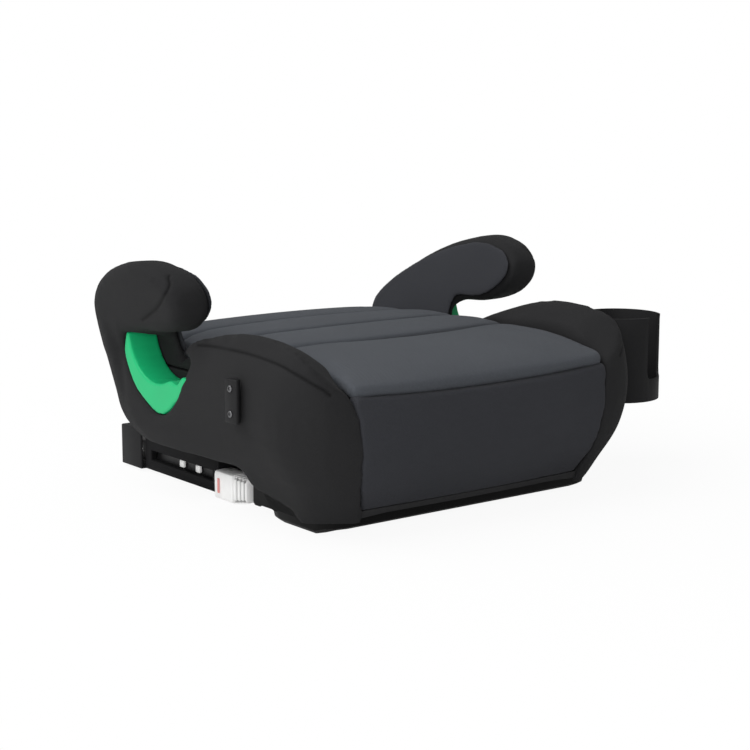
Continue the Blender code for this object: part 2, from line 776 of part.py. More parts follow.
def make_bracket(label, side, looks, parts):
    """Makes a T-shaped bracket on a side, with its two screws."""
    root = SIDE_REACH + GAP
    shoulder = root + STEM_DEPTH
    face = shoulder + HEAD_DEPTH
    low = BRACKET_Z - BRACKET_HEIGHT / 2
    high = BRACKET_Z + BRACKET_HEIGHT / 2
    half_stem = STEM_WIDTH / 2
    half_head = BRACKET_WIDTH / 2
    tee = [(root, -half_stem), (shoulder, -half_stem), (shoulder, -half_head), (face, -half_head)]
    tee += [(x, -y) for x, y in reversed(tee)]
    rings = [[(side * x, BRACKET_Y + y, z) for x, y in tee] for z in (low, high)]
    bracket = stack("cup_bracket_" + label, rings, looks["black_plastic"], parts)
    round_edges(bracket, BRACKET_EDGE)
    for place, offset in (("upper", SCREW_SPACING / 2), ("lower", -SCREW_SPACING / 2)):
        start = (side * (face + GAP), BRACKET_Y, BRACKET_Z + offset)
        end = (side * (face + GAP + SCREW_HEAD), BRACKET_Y, BRACKET_Z + offset)
        rod(f"bracket_screw_{label}_{place}", start, end, SCREW_RADIUS, looks["steel"], parts, sides=16)


def make_cup_holder(looks, parts, cutters):
    """Makes the cup, its mug slot and the clip that slides over the left bracket."""
    face = SIDE_REACH + GAP + STEM_DEPTH + HEAD_DEPTH
    clip_back = face + CLIP_ROOM + CLIP_WALL
    top = BRACKET_Z + BRACKET_HEIGHT / 2
    low = BRACKET_Z - BRACKET_HEIGHT / 2
    middle_x = clip_back - CUP_WALL + CUP_RADIUS
    cup_top = CUP_BOTTOM + CUP_HEIGHT
    cup = rod("cup_holder", (middle_x, BRACKET_Y, CUP_BOTTOM), (middle_x, BRACKET_Y, cup_top), CUP_RADIUS,
              looks["black_plastic"], parts, sides=40)
    clip_half = BRACKET_WIDTH / 2 + GAP + CLIP_WALL
    clip = block("cup_clip", (SIDE_REACH + 2 * GAP, BRACKET_Y - clip_half, low),
                 (clip_back + CUP_WALL, BRACKET_Y + clip_half, top + CLIP_WALL), None, cutters)
    inside = rod("cup_inside", (middle_x, BRACKET_Y, CUP_BOTTOM + CUP_WALL),
                 (middle_x, BRACKET_Y, cup_top + CUP_WALL), CUP_RADIUS - CUP_WALL, None, cutters, sides=40)
    half_head = BRACKET_WIDTH / 2 + GAP
    half_stem = STEM_WIDTH / 2 + GAP
    shoulder = SIDE_REACH + STEM_DEPTH
    below = low - CLIP_WALL
    head_room = block("clip_head_room", (shoulder, BRACKET_Y - half_head, below),
                      (face + CLIP_ROOM, BRACKET_Y + half_head, top + GAP), None, cutters)
    stem_room = block("clip_stem_room", (SIDE_REACH - CLIP_WALL, BRACKET_Y - half_stem, below),
                      (shoulder + GAP, BRACKET_Y + half_stem, top + GAP), None, cutters)
    sill = CUP_BOTTOM + CUP_SLOT_SILL
    half_slot = CUP_SLOT_WIDTH / 2
    profile = [(-half_slot, sill), (half_slot, sill), (half_slot, cup_top + CUP_WALL),
               (-half_slot, cup_top + CUP_WALL)]
    slot_outline = rounded_outline(profile, CUP_SLOT_CORNER)
    slot = flat_form("mug_slot", slot_outline, 0, 2 * CUP_RADIUS, 0, 0, None, cutters)
    slot.data.transform(Matrix.Translation((middle_x, BRACKET_Y, 0)) @ Matrix.Rotation(CUP_SLOT_TURN, 4, "Z"))
    join(cup, as_cutter(clip))
    for cutter in (inside, head_room, stem_room, slot):
        cut(cup, as_cutter(cutter))
    set_origin(cup, (face, BRACKET_Y, low))


def guide_frame():
    """Gives the shared places of the left anchor arm: rail and bore sides, bore middle and heights."""
    inner = BAY_INNER + GAP
    bore_inner = inner + BORE_INSET
    bore_outer = bore_inner + ARM_WIDTH + 2 * ARM_SLACK
    bore_top = BORE_BOTTOM + ARM_HEIGHT + 2 * ARM_SLACK
    return {
        "inner": inner,
        "outer": inner + RAIL_WIDTH,
        "bore_inner": bore_inner,
        "bore_outer": bore_outer,
        "bore_top": bore_top,
        "middle_x": (bore_inner + bore_outer) / 2,
        "middle_z": (BORE_BOTTOM + bore_top) / 2,
        "housing_front": RAIL_REAR + HOUSING_GAP,
        "arm_end": RAIL_REAR + HOUSING_GAP + HOUSING_LENGTH - HOUSING_GAP,
    }


def make_rail(label, side, at, looks, parts, cutters):
    """Makes the guide that an anchor arm slides in, with the long slot in its outer wall."""
    rail = side_block("isofix_rail_" + label, side, (at["inner"], RAIL_FRONT, RAIL_BOTTOM),
                      (at["outer"], RAIL_REAR, BAY_TOP - GAP), looks["black_plastic"], parts)
    bore = side_block("rail_bore", side, (at["bore_inner"], RAIL_FRONT + BORE_INSET, BORE_BOTTOM),
                      (at["bore_outer"], RAIL_REAR + BORE_INSET, at["bore_top"]), None, cutters)
    slot = side_block("rail_slot", side,
                      (at["middle_x"], RAIL_FRONT + SLOT_MARGIN, at["middle_z"] - SLOT_HEIGHT / 2),
                      (at["outer"] + BORE_INSET, RAIL_REAR - SLOT_MARGIN, at["middle_z"] + SLOT_HEIGHT / 2),
                      None, cutters)
    for cutter in (bore, slot):
        cut(rail, as_cutter(cutter))


def make_end_housing(label, side, at, looks, parts, cutters):
    """Makes the open box that the arm's end draws back into."""
    front = at["housing_front"]
    rear = front + HOUSING_LENGTH
    outer = at["outer"] + HOUSING_PROUD
    box = side_block("isofix_end_housing_" + label, side, (at["inner"], front, HOUSING_WALL),
                     (outer, rear, HOUSING_TOP), looks["black_plastic"], parts)
    room = side_block("housing_room", side,
                      (at["inner"] + HOUSING_WALL, front - HOUSING_WALL, 2 * HOUSING_WALL),
                      (outer - HOUSING_WALL, rear + HOUSING_WALL, HOUSING_TOP - HOUSING_WALL), None, cutters)
    cut(box, as_cutter(room))


def make_anchor_arm(label, side, at, looks, parts, cutters):
    """Makes the sliding arm with its anchor mouth, hook, pin and pegs."""
    end = at["arm_end"]
    low = BORE_BOTTOM + ARM_SLACK
    high = low + ARM_HEIGHT
    inner = at["bore_inner"] + ARM_SLACK
    outer = inner + ARM_WIDTH
    middle_x, middle_z = at["middle_x"], at["middle_z"]
    arm = side_block("isofix_arm_" + label, side, (inner, ARM_FRONT, low), (outer, end, high),
                     looks["steel"], parts)
    mouth_low = middle_z - MOUTH_HEIGHT / 2
    mouth_high = middle_z + MOUTH_HEIGHT / 2
    mouth = side_block("anchor_mouth", side, (inner - ARM_WIDTH, end - MOUTH_DEPTH, mouth_low),
                       (outer + ARM_WIDTH, end + MOUTH_DEPTH, mouth_high), None, cutters)
    pin_y = end - HOOK_REACH
    pin_z = high - HOOK_BAR / 2 - HOOK_SLACK
    half_room = HOOK_WIDTH / 2 + HOOK_SLACK
    groove = side_block("hook_groove", side, (middle_x - half_room, pin_y - HOOK_BAR, mouth_low),
                        (middle_x + half_room, end + MOUTH_DEPTH, high + MOUTH_DEPTH), None, cutters)
    pin_hole = rod("pin_hole", (side * (inner - ARM_WIDTH), pin_y, pin_z), (side * (outer + ARM_WIDTH), pin_y, pin_z),
                   PIN_RADIUS + GAP, None, cutters, sides=16)
    rod("jaw_pin_" + label, (side * (inner + GAP), pin_y, pin_z), (side * (outer - GAP), pin_y, pin_z),
        PIN_RADIUS, looks["steel"], parts, sides=16)
    tip = end - HOUSING_GAP
    half_bar = HOOK_BAR / 2
    nose_low = mouth_low + HOOK_SLACK
    profile = [(pin_y - half_bar - HOOK_SLACK, pin_z - half_bar), (tip - HOOK_NOSE, pin_z - half_bar),
               (tip - HOOK_NOSE, nose_low), (tip - HOOK_NOSE / 2, nose_low), (tip, pin_z - half_bar),
               (tip, pin_z + half_bar), (pin_y - half_bar - HOOK_SLACK, pin_z + half_bar)]
    hook = flat_form("jaw_hook_" + label, rounded_outline(profile, HOOK_EDGE, steps=2),
                     side * (middle_x - HOOK_WIDTH / 2), side * (middle_x + HOOK_WIDTH / 2), 0, 0,
                     looks["steel"], parts)
    for cutter in (mouth, groove, pin_hole):
        cut(arm, as_cutter(cutter))
    cut(hook, pin_hole)
    set_origin(hook, (side * middle_x, pin_y, pin_z))
    set_origin(arm, (side * middle_x, end, middle_z))
    for number, place in zip(("rear", "front"), PEG_PLACES):
        peg = side_block(f"position_peg_{label}_{number}", side,
                         (outer + GAP, place - PEG_SIZE / 2, middle_z - PEG_SIZE / 2),
                         (outer + GAP + PEG_PROUD, place + PEG_SIZE / 2, middle_z + PEG_SIZE / 2),
                         looks["white"], parts)
        round_edges(peg, PEG_SIZE / 8)


def handle_rings(middle_x, middle_z):
    """Lists the handle's sections along Y: a plain body, then fins that taper to the front."""
    body_end = HANDLE_REAR - HANDLE_BODY
    pitch = (HANDLE_LENGTH - HANDLE_BODY) / FIN_COUNT
    sections = [(HANDLE_REAR, HANDLE_RIM, 1), (HANDLE_REAR - HANDLE_RIM, 0, 1), (body_end, 0, 1)]
    for fin in range(FIN_COUNT):
        start = body_end - fin * pitch
        size = 1 - (1 - HANDLE_TAPER) * (fin + 1) / FIN_COUNT
        groove_end = start - pitch * 0.35
        sections += [(start - GAP, FIN_DEPTH, size), (groove_end, FIN_DEPTH, size)]
        sections += [(groove_end - GAP, 0, size), (start - pitch, 0, size)]
    rings = []
    for y, inset, size in sections:
        half_x = HANDLE_WIDTH / 2 * size - inset
        half_z = HANDLE_HEIGHT / 2 * size - inset
        corners = [(-half_x, -half_z), (half_x, -half_z), (half_x, half_z), (-half_x, half_z)]
        ring = rounded_outline(corners, HANDLE_CORNER, steps=2)
        rings.append([(middle_x + p.x, y, middle_z + p.y) for p in ring])
    return rings


def make_handle(label, side, at, looks, parts, cutters):
    """Makes the release handle, the bolt that it slides on, its spring and its indicator."""
    outer = at["outer"] + HOUSING_PROUD + HANDLE_PROUD
    middle_x = side * (outer - HANDLE_WIDTH / 2)
    middle_z = HANDLE_BOTTOM + HANDLE_HEIGHT / 2
    handle = stack("release_handle_" + label, handle_rings(middle_x, middle_z), looks["white"], parts)
    chamber_rear = HANDLE_REAR - CHAMBER_WALL
    chamber_front = HANDLE_REAR - HANDLE_BODY
    chamber = rod("spring_chamber", (middle_x, chamber_rear, middle_z), (middle_x, chamber_front, middle_z),
                  CHAMBER_RADIUS, None, cutters)
    hole = rod("bolt_hole", (middle_x, HANDLE_REAR + CHAMBER_WALL, middle_z),
               (middle_x, chamber_front + CHAMBER_WALL, middle_z), BOLT_RADIUS + ARM_SLACK, None, cutters)
    for cutter in (chamber, hole):
        cut(handle, as_cutter(cutter))
    set_origin(handle, (middle_x, HANDLE_REAR, middle_z))
    bolt_tip = chamber_front + BOLT_HEAD_LENGTH
    head_back = bolt_tip + BOLT_HEAD_LENGTH
    turned = ((BOLT_RADIUS, RAIL_FRONT - GAP), (BOLT_RADIUS, head_back), (BOLT_HEAD_RADIUS, head_back),
              (BOLT_HEAD_RADIUS, bolt_tip))
    angles = [2 * math.pi * i / 20 for i in range(20)]
    rings = [[(middle_x + r * math.cos(a), y, middle_z + r * math.sin(a)) for a in angles] for r, y in turned]
    stack("guide_bolt_" + label, rings, looks["steel"], parts)
    make_spring("handle_spring_" + label, middle_x, middle_z, chamber_rear, head_back, looks["steel"], parts)
    middle_y = HANDLE_REAR - HANDLE_BODY * INDICATOR_PLACE
    side_block("indicator_" + label, side,
               (outer + GAP, middle_y - INDICATOR_WIDTH / 2, middle_z - INDICATOR_HEIGHT / 2),
               (outer + GAP + INDICATOR_THICK, middle_y + INDICATOR_WIDTH / 2, middle_z + INDICATOR_HEIGHT / 2),
               looks["red"], parts)


def make_spring(name, x, z, start, end, look, collection):
    """Winds the handle's return spring round its bolt, as one open coil."""
    first = start - SPRING_WIRE - GAP
    last = end + SPRING_WIRE + GAP
    count = SPRING_TURNS * SPRING_POINTS
    wire = bpy.data.curves.new(name, "CURVE")
    wire.dimensions = "3D"
    wire.bevel_depth = SPRING_WIRE
    wire.bevel_resolution = 1
    wire.use_fill_caps = True
    spline = wire.splines.new("POLY")
    spline.points.add(count)
    for i, point in enumerate(spline.points):
        turn = 2 * math.pi * i / SPRING_POINTS
        along = first + (last - first) * i / count
        point.co = (x + SPRING_RADIUS * math.cos(turn), along, z + SPRING_RADIUS * math.sin(turn), 1)
    drawn = bpy.data.objects.new(name + "_path", wire)
    collection.objects.link(drawn)
    bpy.context.view_layer.update()
    form = bmesh.new()
    form.from_mesh(solid_mesh(drawn))
    bmesh.ops.remove_doubles(form, verts=form.verts, dist=0.00001)
    pitch = abs(last - first) / SPRING_TURNS
    print(f"{name}: least gap between turns {1000 * (pitch - 2 * SPRING_WIRE):.2f} mm")
    return add_piece(name, form, look, collection)


def make_looks():
    """Makes the surfaces of the seat."""
    return {
        "grey_fabric": finish("grey_fabric", (0.105, 0.115, 0.130), 0.9),
        "panel_fabric": finish("panel_fabric", (0.045, 0.048, 0.055), 0.9),
        "black_fabric": finish("black_fabric", (0.028, 0.028, 0.029), 0.9),
        "black_plastic": finish("black_plastic", (0.020, 0.020, 0.021), 0.5),
        "gloss_plastic": finish("gloss_plastic", (0.010, 0.010, 0.011), 0.2),
        "core_foam": finish("core_foam", (0.060, 0.060, 0.062), 0.8),
        "green": finish("green", (0.030, 0.470, 0.200), 0.4),
        "white": finish("white", (0.800, 0.800, 0.800), 0.4),
        "red": finish("red", (0.600, 0.020, 0.030), 0.4),
        "steel": finish("steel", (0.450, 0.450, 0.460), 0.35, 1.0),
    }


def main():
    """Builds the seat from its base up."""
    for old in list(bpy.data.objects):
        bpy.data.objects.remove(old)
    parts = new_collection("booster_seat")
    cutters = new_collection("cutters")
    looks = make_looks()
    make_base_tray(looks["gloss_plastic"], parts)
    shell = make_base_shell(looks["core_foam"], parts)
    make_seat_pad(looks["grey_fabric"], parts)
    make_front_panel(looks["panel_fabric"], parts)
    rear = make_rear_panel(looks["black_fabric"], parts)
    at = guide_frame()
    trims = make_trims(cutters)
    for label, side in SIDES:
        bolster = make_side_bolster("side_bolster_" + label, side, looks["black_fabric"], parts, trims)
        bay = side_block("arm_bay_" + label, side, (BAY_INNER, BAY_FRONT, -BAY_TOP),
                         (2 * SIDE_REACH, 2 * REAR_REACH, BAY_TOP), None, cutters)
        for piece in (shell, rear, bolster):
            cut(piece, as_cutter(bay))
        armrest = make_armrest(label, side, looks, parts, cutters, bolster)
        channel = make_belt_guide(label, side, looks, parts, cutters, (shell, bolster, armrest))
        cut(bolster, channel)
        make_bracket(label, side, looks, parts)
        make_rail(label, side, at, looks, parts, cutters)
        make_end_housing(label, side, at, looks, parts, cutters)
        make_anchor_arm(label, side, at, looks, parts, cutters)
        make_handle(label, side, at, looks, parts, cutters)
    make_cup_holder(looks, parts, cutters)


main()
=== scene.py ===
"""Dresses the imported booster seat: sewn covers, moulded plastics, hardware, stage, light and camera.

Metres, +Z up. The front of the seat faces -Y and the seated child's left is +X.
"""

import logging
import math
from dataclasses import dataclass
from enum import Enum
from typing import Optional, Sequence, Union

import bmesh
import bpy
import numpy as np
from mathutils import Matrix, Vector
from mathutils.bvhtree import BVHTree
from mathutils.kdtree import KDTree


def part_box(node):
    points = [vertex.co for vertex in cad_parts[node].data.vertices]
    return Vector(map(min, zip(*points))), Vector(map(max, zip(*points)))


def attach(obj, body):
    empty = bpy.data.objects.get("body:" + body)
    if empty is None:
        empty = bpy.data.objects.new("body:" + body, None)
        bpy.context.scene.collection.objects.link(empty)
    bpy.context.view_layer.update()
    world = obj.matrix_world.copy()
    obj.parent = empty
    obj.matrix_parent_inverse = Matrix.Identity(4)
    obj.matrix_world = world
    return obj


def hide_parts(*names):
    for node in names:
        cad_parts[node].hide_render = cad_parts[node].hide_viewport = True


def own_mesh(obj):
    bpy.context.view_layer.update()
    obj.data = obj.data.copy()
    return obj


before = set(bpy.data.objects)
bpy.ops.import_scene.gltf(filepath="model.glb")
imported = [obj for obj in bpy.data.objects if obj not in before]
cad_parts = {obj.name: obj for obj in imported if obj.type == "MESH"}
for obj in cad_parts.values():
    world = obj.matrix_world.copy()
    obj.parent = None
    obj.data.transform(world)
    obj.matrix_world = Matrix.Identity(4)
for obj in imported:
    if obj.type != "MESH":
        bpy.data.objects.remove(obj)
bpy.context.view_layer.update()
LOG = logging.getLogger("booster_seat")
SEAT = "seat"
X, Y, Z = range(3)
MERGE_DISTANCE = 2e-6
FLAT_ANGLE = math.radians(0.6)
WEIGHT_STEPS = 20
NOISE_SPAN = (0.3, 0.7)
Colour = tuple[float, float, float]
Number = Union[float, bpy.types.NodeSocket]


class Side(Enum):
    """The two sides of the seat, as the seated child has them."""

    LEFT = 1
    RIGHT = -1

    @property
    def label(self) -> str:
        """Name of the side, as the frame's nodes write it."""
        return self.name.lower()


class Slot(Enum):
    """Material slots of the record."""

    GREY_FABRIC = "grey_fabric"
    PANEL_FABRIC = "panel_fabric"
    BLACK_FABRIC = "black_fabric"
    CORE_FOAM = "core_foam"
    GLOSS_BLACK = "gloss_black"
    BLACK_PLASTIC = "black_plastic"
    GREEN_PLASTIC = "green_plastic"
    WHITE_PLASTIC = "white_plastic"
    RED_PLASTIC = "red_plastic"
    BLACK_STEEL = "black_steel"
    STEEL = "steel"


def linear(colour: Colour) -> tuple[float, float, float, float]:
    """Turns a screen colour of 0 to 255 into the shader's linear colour.

    Args:
        colour: Red, green and blue as a screen shows them.

    Returns:
        Linear red, green, blue and full alpha.
    """
    shares = [value / 255 for value in colour]
    return (*[s / 12.92 if s < 0.04045 else ((s + 0.055) / 1.055) ** 2.4 for s in shares], 1.0)


class ShaderTree:
    """Node tree of one material, with short calls that add and join its nodes."""

    def __init__(self, name: str) -> None:
        """Makes the material.

        Args:
            name: Name of the material.
        """
        self.material = bpy.data.materials.new(name)
        self.material.use_nodes = True
        self.tree = self.material.node_tree
        self.shader = self.tree.nodes["Principled BSDF"]

    def add(self, kind: str, **settings: object) -> bpy.types.Node:
        """Adds a node.

        Args:
            kind: The node's type.
            settings: Properties to set on it.

        Returns:
            The new node.
        """
        made = self.tree.nodes.new(kind)
        for key, value in settings.items():
            setattr(made, key, value)
        return made

    def feed(self, socket: bpy.types.NodeSocket, value: object) -> None:
        """Joins a socket to another one, or sets it to a constant.

        Args:
            socket: The input to fill.
            value: An output socket, or the constant.
        """
        if isinstance(value, bpy.types.NodeSocket):
            self.tree.links.new(value, socket)
        else:
            socket.default_value = value

    def math(self, operation: str, *values: Number, clamp: bool = False) -> bpy.types.NodeSocket:
        """Adds a Math node.

        Args:
            operation: The node's operation.
            values: Its inputs.
            clamp: Whether the result stays between 0 and 1.

        Returns:
            The node's result.
        """
        made = self.add("ShaderNodeMath", operation=operation, use_clamp=clamp)
        for socket, value in zip(made.inputs, values):
            self.feed(socket, value)
        return made.outputs[0]

    def remap(self, value: bpy.types.NodeSocket, start: float, end: float, low: float, high: float,
              smooth: bool = False) -> bpy.types.NodeSocket:
        """Maps one range to another.

        Args:
            value: What is mapped.
            start: Value that gives low.
            end: Value that gives high.
            low: First result.
            high: Last result.
            smooth: Whether the step between them is eased.

        Returns:
            The mapped value.
        """
        made = self.add("ShaderNodeMapRange", interpolation_type="SMOOTHSTEP" if smooth else "LINEAR")
        for socket, given in zip(made.inputs, (value, start, end, low, high)):
            self.feed(socket, given)
        return made.outputs[0]

    def noise(self, scale: float, detail: float = 2.0,
              stretch: Colour = (1, 1, 1)) -> bpy.types.NodeSocket:
        """Adds a noise on the object's own coordinates.

        Args:
            scale: Features in a metre.
            detail: Octaves of finer noise.
            stretch: Scale along each axis.

        Returns:
            The noise, about 0 to 1.
        """
        place = self.add("ShaderNodeTexCoord")
        turned = self.add("ShaderNodeMapping")
        turned.inputs["Scale"].default_value = stretch
        self.feed(turned.inputs["Vector"], place.outputs["Object"])
        made = self.add("ShaderNodeTexNoise")
        made.inputs["Scale"].default_value = scale
        made.inputs["Detail"].default_value = detail
        self.feed(made.inputs["Vector"], turned.outputs["Vector"])
        return made.outputs[0]

    def shaded(self, colour: Colour, factor: bpy.types.NodeSocket) -> None:
        """Sets the base colour to one that a factor makes lighter or darker.

        Args:
            colour: The colour where the factor is 1.
            factor: What the colour is multiplied by.
        """
        scaled = self.add("ShaderNodeVectorMath", operation="SCALE")
        scaled.inputs[0].default_value = linear(colour)[:3]
        self.feed(scaled.inputs["Scale"], factor)
        self.feed(self.shader.inputs["Base Color"], scaled.outputs[0])

    def bump(self, height: bpy.types.NodeSocket, depth: float) -> None:
        """Gives the surface a relief.

        Args:
            height: Height of the relief, 0 to 1.
            depth: Depth of the relief, in metres.
        """
        made = self.add("ShaderNodeBump")
        made.inputs["Strength"].default_value = 1.0
        made.inputs["Distance"].default_value = depth
        self.feed(made.inputs["Height"], height)
        self.feed(self.shader.inputs["Normal"], made.outputs[0])


@dataclass(frozen=True)
class FabricFinish:
    """Knitted polyester cover: a fine weave, flecked yarn, broad patches a little lighter or darker, a little
    sheen and painted shade along sewn creases.
    """

    name: str
    colour: Colour
    pitch: float
    depth: float
    fleck: float
    sheen: float
    roughness: float = 0.88
    # Colour factor of the painted shade where creases are marked.
    crease: float = 0.28
    gloss: float = 0.10
    sheen_roughness: float = 0.45

    def make(self) -> bpy.types.Material:
        """Makes the material, with the weave laid on all three planes and painted shade in sewn creases.

        Returns:
            The finished material.
        """
        tree = ShaderTree(self.name)
        place = tree.add("ShaderNodeTexCoord")
        spot = tree.add("ShaderNodeSeparateXYZ")
        tree.feed(spot.inputs[0], place.outputs["Object"])
        facing = tree.add("ShaderNodeSeparateXYZ")
        tree.feed(facing.inputs[0], place.outputs["Normal"])
        waves = [tree.math("SINE", tree.math("MULTIPLY", axis, 2 * math.pi / self.pitch))
                 for axis in spot.outputs]
        weights = [tree.math("POWER", tree.math("ABSOLUTE", axis), 4.0) for axis in facing.outputs]
        total = tree.math("ADD", tree.math("ADD", weights[0], weights[1]), weights[2])
        woven = None
        for index in range(3):
            crossed = tree.math("MULTIPLY", waves[(index + 1) % 3], waves[(index + 2) % 3])
            share = tree.math("MULTIPLY", crossed, tree.math("DIVIDE", weights[index], total))
            woven = share if woven is None else tree.math("ADD", woven, share)
        yarn = tree.noise(0.8 / self.pitch, 3.0)
        broad = tree.noise(9.0, 2.0)
        crease = tree.add("ShaderNodeAttribute", attribute_name="crease").outputs["Fac"]
        light = tree.math("ADD", tree.remap(yarn, *NOISE_SPAN, 1 - self.fleck, 1 + self.fleck),
                          tree.remap(broad, *NOISE_SPAN, -0.04, 0.04))
        light = tree.math("ADD", light, tree.math("MULTIPLY", woven, self.fleck * 0.5))
        # Painted shade: the colour darkens where the piece marks its sewn creases and tucked recesses.
        light = tree.math("MULTIPLY", light, tree.remap(crease, 0.0, 1.0, 1.0, self.crease))
        tree.shaded(self.colour, light)
        tree.feed(tree.shader.inputs["Roughness"],
                  tree.remap(yarn, *NOISE_SPAN, self.roughness - 0.06, self.roughness + 0.06))
        tree.shader.inputs["Sheen Weight"].default_value = self.sheen
        tree.shader.inputs["Sheen Roughness"].default_value = self.sheen_roughness
        tree.shader.inputs["Specular IOR Level"].default_value = self.gloss
        relief = tree.math("ADD", tree.math("MULTIPLY", woven, 0.5), tree.math("MULTIPLY", yarn, 0.6))
        tree.bump(relief, self.depth)
        return tree.material


@dataclass(frozen=True)
class PlasticFinish:
    """Moulded plastic: a fine spark-eroded grain, uneven gloss, edges a little paler and painted shade in
    marked grooves.
    """

    name: str
    colour: Colour
    roughness: float
    grain: float = 2600.0
    depth: float = 0.00006
    wear: float = 0.25
    gloss: float = 0.5
    # Colour factor of the painted shade in marked grooves.
    groove: float = 1.0

    def make(self) -> bpy.types.Material:
        """Makes the material.

        Returns:
            The finished material.
        """
        tree = ShaderTree(self.name)
        grain = tree.noise(self.grain, 2.0)
        broad = tree.noise(14.0, 3.0)
        edge = tree.add("ShaderNodeNewGeometry").outputs["Pointiness"]
        # Convex edges are made a little paler, in patches that follow the broad noise.
        paled_edges = tree.math("MULTIPLY", tree.remap(edge, 0.52, 0.60, 0.0, self.wear, smooth=True),
                           tree.remap(broad, 0.35, 0.65, 0.3, 1.0))
        crease = tree.add("ShaderNodeAttribute", attribute_name="crease").outputs["Fac"]
        light = tree.math("ADD", tree.remap(broad, *NOISE_SPAN, 0.95, 1.05), paled_edges)
        # Painted shade: the colour darkens in the grooves that the piece marks.
        light = tree.math("MULTIPLY", light, tree.remap(crease, 0.0, 1.0, 1.0, self.groove))
        tree.shaded(self.colour, light)
        tree.feed(tree.shader.inputs["Roughness"],
                  tree.math("ADD", tree.remap(broad, *NOISE_SPAN, self.roughness - 0.04,
                                              self.roughness + 0.04),
                            tree.remap(grain, *NOISE_SPAN, -0.03, 0.03), clamp=True))
        tree.shader.inputs["Specular IOR Level"].default_value = self.gloss
        tree.bump(grain, self.depth)
        return tree.material


@dataclass(frozen=True)
class MetalFinish:
    """Zinc-plated or brushed steel with fine drawn lines and uneven gloss."""

    name: str
    colour: Colour
    roughness: float

    def make(self) -> bpy.types.Material:
        """Makes the material.

        Returns:
            The finished material.
        """
        tree = ShaderTree(self.name)
        drawn = tree.noise(1800.0, 2.0, (1, 0.06, 1))
        broad = tree.noise(60.0, 3.0)
        tree.shaded(self.colour, tree.remap(broad, *NOISE_SPAN, 0.86, 1.08))
        tree.shader.inputs["Metallic"].default_value = 1.0
        tree.feed(tree.shader.inputs["Roughness"],
                  tree.remap(drawn, *NOISE_SPAN, self.roughness - 0.08, self.roughness + 0.08))
        tree.bump(drawn, 0.00003)
        return tree.material


class Finishes:
    """All the finishes of the seat, made once and found by the record's slot."""

    def __init__(self) -> None:
        """Makes the finishes."""
        kinds = {
            Slot.GREY_FABRIC: FabricFinish("grey_knit", (72, 75, 80), 0.0016, 0.00035, 0.07, 0.04),
            Slot.PANEL_FABRIC: FabricFinish("charcoal_knit", (50, 51, 55), 0.0016, 0.00035, 0.07, 0.03),
            Slot.BLACK_FABRIC: FabricFinish("black_knit", (36, 36, 37), 0.0012, 0.00025, 0.06, 0.02),
            Slot.CORE_FOAM: FabricFinish("moulded_foam", (40, 40, 41), 0.0042, 0.00060, 0.05, 0.0),
            Slot.GLOSS_BLACK: PlasticFinish("gloss_black_tray", (15, 15, 15), 0.30, depth=0.00001,
                                            wear=0.1, gloss=0.10),
            Slot.BLACK_PLASTIC: PlasticFinish("grained_black_plastic", (31, 31, 32), 0.55, gloss=0.10),
            Slot.GREEN_PLASTIC: PlasticFinish("satin_green_plastic", (24, 173, 109), 0.42, wear=0.03,
                                              gloss=0.25),
            # The white handle's marked grooves get painted shade at 0.30 of its colour.
            Slot.WHITE_PLASTIC: PlasticFinish("white_plastic", (250, 250, 249), 0.40, wear=0.0,
                                              groove=0.30),
            Slot.RED_PLASTIC: PlasticFinish("red_marker_plastic", (224, 146, 142), 0.45, wear=0.0),
            Slot.BLACK_STEEL: PlasticFinish("dipped_black_steel", (20, 20, 21), 0.40, wear=0.3,
                                            gloss=0.35),
            Slot.STEEL: MetalFinish("zinc_plated_steel", (112, 112, 114), 0.40),
        }
        self.made = {slot: finish.make() for slot, finish in kinds.items()}
        # A darker copy of the black plastic for the anchor rails: painted shade for their recess.
        self.rail = PlasticFinish("rail_black_plastic", (25, 25, 26), 0.62, gloss=0.06, wear=0.10).make()
        self.hem = FabricFinish("hem_knit", (46, 46, 47), 0.0012, 0.00025, 0.06, 0.02).make()
        # A darker copy of the steel finish, for the jaw hooks.
        self.hook = MetalFinish("black_zinc_steel", (50, 50, 52), 0.45).make()
        self.thread = FabricFinish("sewing_thread", (58, 59, 62), 0.0006, 0.00010, 0.08, 0.05).make()

    def dress(self, piece: bpy.types.Object, slot: Slot, body: str = SEAT,
              finish: Optional[bpy.types.Material] = None) -> None:
        """Gives a new piece its finish and sets it on a body.

        Args:
            piece: The piece.
            slot: Slot of the record that the finish belongs to.
            body: Body that the piece moves with.
            finish: A finish of its own, where it differs from the slot's.
        """
        piece.data.materials.clear()
        piece.data.materials.append(finish or self.made[slot])
        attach(piece, body)
        LOG.info("%s: %s on %s", piece.name, slot.value, body)

    def coat_node(self, node: str, slot: Slot,
                  finish: Optional[bpy.types.Material] = None) -> None:
        """Gives a node of the frame its finish.

        Args:
            node: Name of the node.
            slot: Slot of the record that the finish belongs to.
            finish: A finish of its own, where it differs from the slot's.
        """
        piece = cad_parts[node]
        if not piece.material_slots:
            piece.data.materials.append(self.made[slot])
        for place in piece.material_slots:
            place.material = finish or self.made[slot]
        LOG.info("%s: %s, kept from the frame", node, slot.value)


def points_of(mesh: bpy.types.Mesh) -> np.ndarray:
    """Gives a mesh's vertices as rows of x, y and z.

    Args:
        mesh: The mesh.

    Returns:
        Its vertices.
    """
    flat = np.empty(len(mesh.vertices) * 3)
    mesh.vertices.foreach_get("co", flat)
    return flat.reshape(-1, 3)


def normals_of(mesh: bpy.types.Mesh) -> np.ndarray:
    """Gives the normals of a mesh's vertices.

    Args:
        mesh: The mesh.

    Returns:
        One unit vector for each vertex.
    """
    flat = np.empty(len(mesh.vertices) * 3)
    mesh.vertices.foreach_get("normal", flat)
    return flat.reshape(-1, 3)


